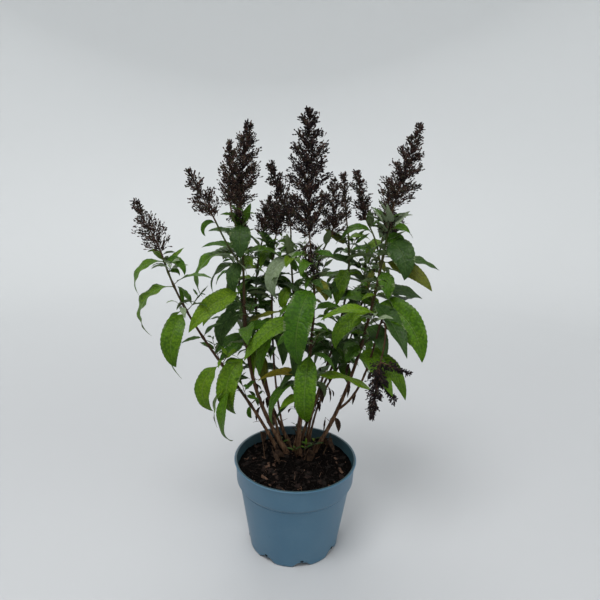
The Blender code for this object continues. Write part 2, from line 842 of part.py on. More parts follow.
def build_pot(plastic):
    """The pot: a tapering wall, a chamfered crease, a straight band, a lip and a notched foot."""
    outer_wall = [
        (RIM_RADIUS - LIP_THICKNESS, POT_HEIGHT),
        (RIM_RADIUS, POT_HEIGHT - LIP_ROUNDING),
        (RIM_RADIUS, POT_HEIGHT - LIP_FOOT_DROP),
        (RIM_RADIUS - LIP_THICKNESS + LIP_UNDERSIDE_STEP, POT_HEIGHT - LIP_UNDERSIDE_DROP),
        (BAND_FOOT_RADIUS, BAND_FOOT_HEIGHT),
        (CREASE_RADIUS, CREASE_HEIGHT),
        (BASE_RADIUS + FOOT_STEP, FOOT_TURN_HEIGHT),
        (BASE_RADIUS, 0.0),
        (FOOT_RING_INNER_RADIUS, 0.0),
        (UNDERSIDE_RADIUS, 0.0),
    ]
    profile = [(0.0, FLOOR_THICKNESS)] + inner_wall() + outer_wall + [(0.0, 0.0)]
    vertices, faces = turned(profile, POT_SIDES)
    faces = [tuple(reversed(face)) for face in faces]
    per_notch = POT_SIDES // NOTCH_COUNT
    open_sides = round(per_notch * NOTCH_SHARE)
    for i, vertex in enumerate(vertices[:-1]):
        at_foot = vertex[2] == 0.0 and math.hypot(vertex[0], vertex[1]) > UNDERSIDE_RADIUS + GAP
        side = (i - 1) % POT_SIDES
        if at_foot and side % per_notch < open_sides:
            vertex[2] = NOTCH_HEIGHT
    pot = make_object("pot", vertices, faces, plastic, smooth_angle=30.0)
    drill_drains(pot)
    return pot


def drill_drains(pot):
    """Bore the drain holes through the floor, one on the line of each notch."""
    cutters = bpy.data.collections.new("drains")
    bpy.context.scene.collection.children.link(cutters)
    for i in range(NOTCH_COUNT):
        angle = 2 * math.pi * (i + 0.5 * NOTCH_SHARE) / NOTCH_COUNT
        place = (DRAIN_CIRCLE_RADIUS * math.cos(angle), DRAIN_CIRCLE_RADIUS * math.sin(angle))
        ends = [np.array((*place, height)) for height in DRAIN_BORE]
        bore = make_object(
            f"drain_{i}", *tube(ends, [DRAIN_RADIUS] * 2, DRAIN_SIDES), pot.data.materials[0]
        )
        bpy.context.scene.collection.objects.unlink(bore)
        cutters.objects.link(bore)
    cut = pot.modifiers.new("drains", "BOOLEAN")
    cut.operation = "DIFFERENCE"
    cut.operand_type = "COLLECTION"
    cut.collection = cutters
    cut.solver = "EXACT"
    graph = bpy.context.evaluated_depsgraph_get()
    mesh = bpy.data.meshes.new_from_object(pot.evaluated_get(graph))
    pot.modifiers.remove(cut)
    pot.data = mesh
    mesh.name = "pot"
    for bore in list(cutters.objects):
        bpy.data.objects.remove(bore)
    bpy.data.collections.remove(cutters)
    keep_largest_shell(mesh)


def build_soil(earth):
    """The soil: it fills the pot a hair clear of the wall, bumpy on top and level at the crown."""
    draw = random.Random(SEED)
    floor_height = FLOOR_THICKNESS + GAP
    walls = inner_wall()
    top_radius = np.interp(SOIL_TOP, [h for r, h in walls], [r for r, h in walls]) - GAP
    profile = [(0.0, floor_height), (walls[0][0] - GAP, floor_height)]
    profile.append((walls[1][0] - GAP - SOIL_EASE, walls[1][1]))
    profile.append((walls[2][0] - GAP - SOIL_EASE, walls[2][1]))
    for ring in range(SOIL_RINGS):
        profile.append((top_radius * (1 - ring / SOIL_RINGS) - SOIL_EASE, SOIL_TOP))
    profile.append((0.0, SOIL_TOP))
    vertices, faces = turned(profile, SOIL_SIDES)
    faces = [tuple(reversed(face)) for face in faces]
    for vertex in vertices:
        from_crown = math.hypot(vertex[0] - CROWN[0], vertex[1] - CROWN[1])
        if vertex[2] == SOIL_TOP and from_crown > CROWN_PATCH_RADIUS:
            vertex[2] -= SOIL_BUMP * draw.random()
    return make_object("soil", vertices, faces, earth, smooth_angle=30.0)


def limb_shares(first, last, steps):
    """Evenly spread shares along a curve."""
    return [first + (last - first) * i / (steps - 1) for i in range(steps)]


def limb_solid(stem, first):
    """The bare lower part of a stem as a tapering limb, from the given share of its curve."""
    shares = limb_shares(first, stem.bare, LIMB_STEPS)
    points = [bezier(stem_ends(stem), share) for share in shares]
    radii = [stem_radius(stem, share) for share in shares]
    if not stem.parent:
        points[0] = points[0] + np.array((0.0, 0.0, GAP))
    return tube(points, radii, LIMB_SIDES, flat_foot=not stem.parent)


def clear_start(stem, stems):
    """Share of a bough's curve where its first ring stands a hair clear of the limb it grows from."""
    parent = next(other for other in stems if other.name == stem.parent)
    limb = Surface(limb_solid(parent, 0.0))
    share = 0.0
    while limb.meets(Surface(limb_solid(stem, share))) or limb.gap_to(limb_solid(stem, share)) < GAP:
        share += SEAT_STEP
    return share


def build_limb(stem, first, bark, room):
    """The bare lower part of a stem, from its flat foot to where its leafy shoot begins."""
    name = ("bough_" if stem.parent else "stem_") + stem.name
    solid = limb_solid(stem, first)
    room.claim(name, solid)
    make_object(name, *solid, bark)


def shoot_solids(stem):
    """The shoot's own stem and its side twigs, as tapering limbs."""
    ends = stem_ends(stem)
    reach = np.linalg.norm(np.array(stem.tip) - np.array(stem.foot))
    start = stem.bare + GAP / reach
    shares = limb_shares(start, 1.0, SHOOT_STEPS)
    points = [bezier(ends, share) for share in shares]
    seam = bezier(ends, stem.bare) + bezier_direction(ends, stem.bare) * GAP
    points[0] = seam
    solids = [tube(points, [stem_radius(stem, share) for share in shares], SHOOT_SIDES)]
    for twig in stem.twigs:
        branch = twig_ends(stem, twig)
        points = [bezier(branch, share) for share in limb_shares(0.0, 1.0, TWIG_STEPS)]
        solids.append(tube(points, [TWIG_RADIUS] * TWIG_STEPS, TWIG_SIDES))
    return solids


def place_leaf(ends, leaf, owner, room):
    """Set a leaf on its stem, turning it a little where it would touch a neighbour, or skip it."""
    for lift in LEAF_LIFTS:
        for turn in LEAF_TURNS:
            heading = math.radians(leaf.toward + turn)
            outward = np.array((math.cos(heading), math.sin(heading), 0.0))
            root = bezier(ends, leaf.at) + outward * SHOOT_TIP_RADIUS * ROOT_SINK
            tried = replace(leaf, toward=leaf.toward + turn, rise=leaf.rise + lift)
            wide_solid = leaf_solid(root, tried, grow=CLEARANCE)
            wide_blade = leaf_solid(root, tried, grow=CLEARANCE, first=BLADE_START)
            if room.is_clear(owner, wide_solid, wide_blade):
                solid = leaf_solid(root, tried)
                room.claim(owner, solid, leaf_solid(root, tried, first=BLADE_START))
                return solid
    return None


def named_leaves(stem):
    """Each leaf that is set by hand on a shoot or its twigs, with the curve that carries it."""
    for leaf in stem.leaves:
        yield stem_ends(stem), leaf
    for twig in stem.twigs:
        for leaf in twig.leaves:
            yield twig_ends(stem, twig), leaf


def partner_leaves(stem, draw):
    """The leaf opposite each leaf that has a partner."""
    found = []
    for leaf in stem.leaves:
        if not leaf.partner:
            continue
        wide = leaf.partner * draw.uniform(*PARTNER_WIDTH)
        rise = draw.uniform(*PARTNER_RISE)
        droop = draw.uniform(*PARTNER_DROOP)
        roll = draw.uniform(*PARTNER_ROLL)
        found.append(Leaf(leaf.at, leaf.toward + 180, rise, droop, leaf.partner, wide, roll=roll))
    return found


def paired_leaves(stem, draw):
    """Opposite pairs spread up the shoot, each pair crossed with the one below."""
    found = []
    for i in range(stem.pairs):
        at = stem.bare + (PAIR_TOP - stem.bare) * (i + PAIR_OFFSET) / stem.pairs
        for half in (0, 180):
            toward = stem.pair_turn + 90 * i + half + draw.uniform(*PAIR_TURN)
            long = draw.uniform(*PAIR_LENGTH) * (PAIR_FOOT_GROWTH - PAIR_TIP_LOSS * at)
            wide = long * draw.uniform(*PAIR_WIDTH)
            rise = draw.uniform(*PAIR_RISE)
            droop = draw.uniform(*PAIR_DROOP)
            roll = draw.uniform(*PAIR_ROLL)
            found.append(Leaf(at, toward, rise, droop, long, wide, roll=roll))
    return found


def axil_leaves(carriers, draw):
    """A pair of small leaves in the axils of the carriers, at places some way apart."""
    places = []
    for at in sorted(leaf.at for leaf in carriers):
        if not places or at - places[-1] > AXIL_SPACING:
            places.append(at)
    found = []
    for i, at in enumerate(places):
        for half in (0, 180):
            toward = AXIL_TOWARD + 90 * i + half + draw.uniform(*AXIL_TURN)
            long = draw.uniform(*AXIL_LEAF_LENGTH)
            rise = draw.uniform(*AXIL_RISE)
            droop = draw.uniform(*AXIL_DROOP)
            found.append(Leaf(at, toward, rise, droop, long, long * AXIL_LEAF_WIDTH))
    return found


def grown_leaves(stem):
    """The leaves that follow a rule: partners, crossed pairs and the small pair in each axil."""
    draw = random.Random(stem.name)
    found = partner_leaves(stem, draw) + paired_leaves(stem, draw)
    found = found + axil_leaves(stem.leaves + found, draw)
    return [(stem_ends(stem), leaf) for leaf in found]


def head_curve(ends, head):
    """The curve of a seed head, which carries on from its stem and bends to its tip."""
    base = np.array(ends[3], dtype=float)
    direction = bezier_direction(ends, 1.0)
    base = base + direction * GAP
    tip = np.array(head.tip, dtype=float)
    length = np.linalg.norm(tip - base)
    low = base + direction * length * HEAD_LOW_PULL
    high = tip - (tip - base) * HEAD_HIGH_PULL
    return (tuple(base), tuple(low), tuple(high), tuple(tip))


def head_outline(share):
    """Breadth of a seed head as a share of its widest, from base to tip."""
    widening = min(1.0, HEAD_FOOT_BREADTH + HEAD_FOOT_GROWTH * share)
    return widening * (1.0 - HEAD_TIP_LOSS * share**HEAD_TIP_POWER)


def head_core(curve, wide):
    """The slim core of a seed head, from its bare stalk to its tip."""
    shares = [0.0, STALK_SHARE] + limb_shares(STALK_SHARE + CORE_START, CORE_END, CORE_STEPS)
    points = [bezier(curve, share) for share in shares]
    radii = [STALK_RADIUS, STALK_RADIUS]
    for share in shares[2:]:
        radii.append(max(wide / 2 * head_outline(share) * CORE_SHARE, STALK_RADIUS))
    return tube(points, radii, CORE_SIDES, pointed=True)


def head_clusters(curve, wide, pitch, draw):
    """The spikes of pods, set in a spiral round the core and leaning to the tip."""
    length = np.linalg.norm(np.array(curve[3]) - np.array(curve[0]))
    count = int(length * (1 - STALK_SHARE) / pitch)
    for i in range(count):
        share = STALK_SHARE + CLUSTER_START + (CLUSTER_END - STALK_SHARE) * (i + 0.5) / count
        axis = bezier_direction(curve, share)
        side, front = across(axis)
        angle = math.radians(CLUSTER_TURN * i + draw.uniform(*CLUSTER_TURN_SPREAD))
        outward = math.cos(angle) * side + math.sin(angle) * front
        direction = outward + axis * CLUSTER_RISE * draw.uniform(*CLUSTER_RISE_SPREAD)
        direction = direction / np.linalg.norm(direction)
        reach = wide / 2 * head_outline(share) * draw.uniform(*CLUSTER_REACH_SPREAD)
        length_out = reach / float(direction @ outward)
        yield bezier(curve, share) + outward * STALK_RADIUS, direction, length_out


def head_curves(ends, head):
    """Curve, breadth and spike pitch of a seed head and of each spur at its side."""
    main = head_curve(ends, head)
    curves = [(main, head.wide, CLUSTER_PITCH)]
    for i, tip in enumerate(head.spurs):
        start = bezier(main, SPUR_AT - SPUR_STEP * i)
        middle = (start + np.array(tip)) / 2
        spur = (tuple(start), tuple(middle), tuple(middle), tip)
        curves.append((spur, head.wide * SPUR_BREADTH, SPUR_PITCH))
    return curves


def every_head(stems):
    """Each seed head with the curve that carries it."""
    for stem in stems:
        if stem.head:
            yield stem_ends(stem), stem.head
        for twig in stem.twigs:
            if twig.head:
                yield twig_ends(stem, twig), twig.head


def clear_scene():
    """Remove every object that the scene starts with."""
    for thing in list(bpy.data.objects):
        bpy.data.objects.remove(thing, do_unlink=True)


def claim_limbs_and_cores(shoots, room):
    """Note the shoots' own stems and the cores of the seed heads before anything grows on them."""
    for stem in STEMS:
        for solid in shoots[stem.name]:
            room.claim(stem.name, solid)
    for ends, head in every_head(STEMS):
        for curve, wide, _ in head_curves(ends, head):
            room.claim("head_" + head.name, head_core(curve, wide))


def hang_leaves(choose, shoots, room):
    """Add to each shoot the leaves that choose gives for its stem and that find room."""
    for stem in STEMS:
        for ends, leaf in choose(stem):
            solid = place_leaf(ends, leaf, stem.name, room)
            if solid:
                shoots[stem.name].append(solid)


def grow_head(ends, head, room):
    """The solids of one seed head: a core for it and each spur, and the spikes that find room."""
    owner = "head_" + head.name
    draw = random.Random(head.name)
    solids = []
    for curve, wide, pitch in head_curves(ends, head):
        solids.append(head_core(curve, wide))
        for start, direction, length in head_clusters(curve, wide, pitch, draw):
            grown = cluster_solid(start, direction, length, CLUSTER_WIDTH, grow=CLEARANCE)
            if room.is_clear(owner, grown):
                solid = cluster_solid(start, direction, length, CLUSTER_WIDTH)
                solids.append(solid)
                room.claim(owner, solid)
    return solids


def main():
    """Clear the scene and build the pot, the soil, the stems, the shoots and the seed heads."""
    clear_scene()
    room = Room()
    plastic = substance("pot_plastic", PLASTIC_COLOUR, 0.45)
    earth = substance("potting_soil", SOIL_COLOUR, 0.95)
    bark = substance("stem_bark", BARK_COLOUR, 0.7)
    green = substance("leaf_green", LEAF_COLOUR, 0.5)
    pods = substance("seed_pods", POD_COLOUR, 0.8)

    build_pot(plastic)
    build_soil(earth)
    for stem in STEMS:
        first = clear_start(stem, STEMS) if stem.parent else 0.0
        build_limb(stem, first, bark, room)

    shoots = {stem.name: shoot_solids(stem) for stem in STEMS}
    claim_limbs_and_cores(shoots, room)
    hang_leaves(named_leaves, shoots, room)
    heads = {head.name: grow_head(ends, head, room) for ends, head in every_head(STEMS)}
    hang_leaves(grown_leaves, shoots, room)

    for stem in STEMS:
        fuse("shoot_" + stem.name, shoots[stem.name], green)
    for name, solids in heads.items():
        fuse("seed_head_" + name, solids, pods)


main()
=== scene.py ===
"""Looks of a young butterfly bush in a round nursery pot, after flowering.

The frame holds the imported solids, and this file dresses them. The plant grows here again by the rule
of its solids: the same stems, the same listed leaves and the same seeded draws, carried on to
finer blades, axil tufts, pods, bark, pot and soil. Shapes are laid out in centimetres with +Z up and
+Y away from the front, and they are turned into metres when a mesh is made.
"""

import json
import logging
from dataclasses import dataclass, field, replace
from enum import Enum
from math import cos, pi, radians, sin, sqrt
from random import Random

import bpy
import numpy as np
from bpy.types import Material, Node, NodeSocket, NodeTree, Object
from mathutils import Matrix, Vector

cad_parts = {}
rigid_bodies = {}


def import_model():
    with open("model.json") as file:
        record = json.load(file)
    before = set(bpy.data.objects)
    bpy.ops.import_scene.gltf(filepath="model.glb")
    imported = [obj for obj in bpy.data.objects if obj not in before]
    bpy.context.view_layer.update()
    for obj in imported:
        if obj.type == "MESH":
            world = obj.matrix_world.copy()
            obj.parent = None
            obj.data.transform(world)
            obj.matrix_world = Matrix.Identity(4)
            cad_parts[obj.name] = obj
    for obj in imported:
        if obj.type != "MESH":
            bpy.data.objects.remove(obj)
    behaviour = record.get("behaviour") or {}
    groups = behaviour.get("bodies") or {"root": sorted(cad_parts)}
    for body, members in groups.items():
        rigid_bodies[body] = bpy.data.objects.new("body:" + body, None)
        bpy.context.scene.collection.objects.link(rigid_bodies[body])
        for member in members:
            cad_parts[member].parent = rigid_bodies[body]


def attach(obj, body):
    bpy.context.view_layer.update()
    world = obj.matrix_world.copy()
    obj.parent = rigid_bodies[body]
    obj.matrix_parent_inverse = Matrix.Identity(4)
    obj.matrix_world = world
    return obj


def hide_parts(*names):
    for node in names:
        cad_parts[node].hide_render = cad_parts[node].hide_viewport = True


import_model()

# Short names for types; a surface has points, places, quads and triangles
Array = np.ndarray
Pair = tuple[float, float]
RGB = tuple[float, float, float]
Surface = tuple[Array, Array, Array, Array]

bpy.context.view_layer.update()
LOG = logging.getLogger("butterfly_bush")
BODY = "root"
CM = 0.01
GAP = 0.03
SOIL_TOP = 11.7
CROWN = (0.3, 3.5)
CROWN_PATCH_RADIUS = 3.4

DRY_SPOT = (0.09, 0.05, 0.02)

# Proportions shared by every stem, in centimetres
STEM_TAPER = 0.8
FLARE = 0.45
FLARE_HEIGHT = 0.9
SHOOT_TIP_RADIUS = 0.11
TWIG_RADIUS = 0.11

# Leaves that grow by rule, in centimetres, degrees and shares: the one opposite a leaf
PARTNER_WIDTH = (0.24, 0.3)
PARTNER_RISE = (10, 35)
PARTNER_DROOP = (60, 110)
PARTNER_ROLL = (-30, 30)

# The crossed pairs up a shoot
PAIR_TOP = 0.97
PAIR_OFFSET = 0.6
PAIR_TURN = (-15, 15)
PAIR_LENGTH = (5.5, 8.5)
PAIR_FOOT_GROWTH = 1.15
PAIR_TIP_LOSS = 0.4
PAIR_WIDTH = (0.24, 0.32)
PAIR_RISE = (5, 40)
PAIR_DROOP = (50, 120)
PAIR_ROLL = (-35, 35)

# The small leaves in the axils
AXIL_SPACING = 0.15
AXIL_TOWARD = 40
AXIL_TURN = (-20, 20)
AXIL_LEAF_LENGTH = (1.6, 3.0)
AXIL_LEAF_WIDTH = 0.3
AXIL_RISE = (30, 65)
AXIL_DROOP = (0, 60)

# Outline of a leaf and of a seed head, in shares
BLADE_SHIFT = 0.85
BLADE_ROUNDING = 0.9
HEAD_LOW_PULL = 0.25
HEAD_HIGH_PULL = 0.35
HEAD_FOOT_BREADTH = 0.6
HEAD_FOOT_GROWTH = 2.5
HEAD_TIP_LOSS = 0.6
HEAD_TIP_POWER = 1.6
SPUR_BREADTH = 0.45
SPUR_START = 0.32
SPUR_STEP = 0.2


class Tint(Enum):
    """Leaf colours of the plant, each with a finish of its own."""

    GREEN = 0
    BRIGHT = 1
    DARK = 2
    OLIVE = 3
    YOUNG = 4
    YELLOW = 5
    WITHERED = 6
    FRESH = 7


@dataclass
class Leaf:
    """One leaf: place along its stem, compass direction, angles in degrees and sizes in cm.

    The partner is the length of the leaf opposite, and the roll turns the blade about its midrib.
    """

    at: float
    toward: float
    rise: float
    droop: float
    long: float
    wide: float
    partner: float = 0.0
    roll: float = 0.0
    tint: Tint = Tint.GREEN


@dataclass(frozen=True)
class LeafHabit:
    """How leaves of one kind stand: rise and droop in degrees, breadth as a share, roll either way."""

    rise: Pair
    droop: Pair
    breadth: Pair
    roll: float

    def leaf(self, draw: Random, at: float, toward: float, long: float) -> Leaf:
        """One leaf of the kind.

        Args:
            draw: Source of its rise, droop, breadth and roll, in this order.
            at: Its place along the stem.
            toward: Its compass direction in degrees.
            long: Its length in cm.

        Returns:
            The leaf, still green.
        """
        rise, droop = draw.uniform(*self.rise), draw.uniform(*self.droop)
        wide = long * draw.uniform(*self.breadth)
        return Leaf(at, toward, rise, droop, long, wide, roll=draw.uniform(-self.roll, self.roll))


@dataclass
class Head:
    """A spent seed head at the end of a stem, with its tip and widest breadth in cm."""

    name: str
    tip: tuple
    wide: float
    spurs: tuple = ()


@dataclass(frozen=True)
class HeadStyle:
    """How a seed head differs from the usual.

    The density is a share of the usual number of pods, the slimming the share of the breadth that is
    lost at the tip, and dark the share of the pods that turn to the darkest finish.
    """

    density: float = 1.0
    slimming: float = 0.0
    dark: float = 0.0


@dataclass
class Twig:
    """A side twig that leaves a shoot, drawn by two pulls and a tip in cm."""

    at: float
    pull_low: tuple
    pull_high: tuple
    tip: tuple
    leaves: list[Leaf] = field(default_factory=list)
    head: Head | None = None


@dataclass
class Stem:
    """One stem from the root crown: bare limb below, leafy shoot above, drawn by two pulls."""

    name: str
    foot: tuple
    pull_low: tuple
    pull_high: tuple
    tip: tuple
    thick: float
    bare: float
    leaves: list[Leaf]
    pairs: int = 0
    pair_turn: float = 0.0
    twigs: list[Twig] = field(default_factory=list)
    head: Head | None = None
    parent: str = ""

    @property
    def ends(self) -> tuple:
        """The four handles of the stem's curve."""
        return (self.foot, self.pull_low, self.pull_high, self.tip)

    @property
    def limb_node(self) -> str:
        """Name of the solid of the bare part."""
        return ("bough_" if self.parent else "stem_") + self.name

    @property
    def shoot_node(self) -> str:
        """Name of the solid of the leafy part."""
        return "shoot_" + self.name


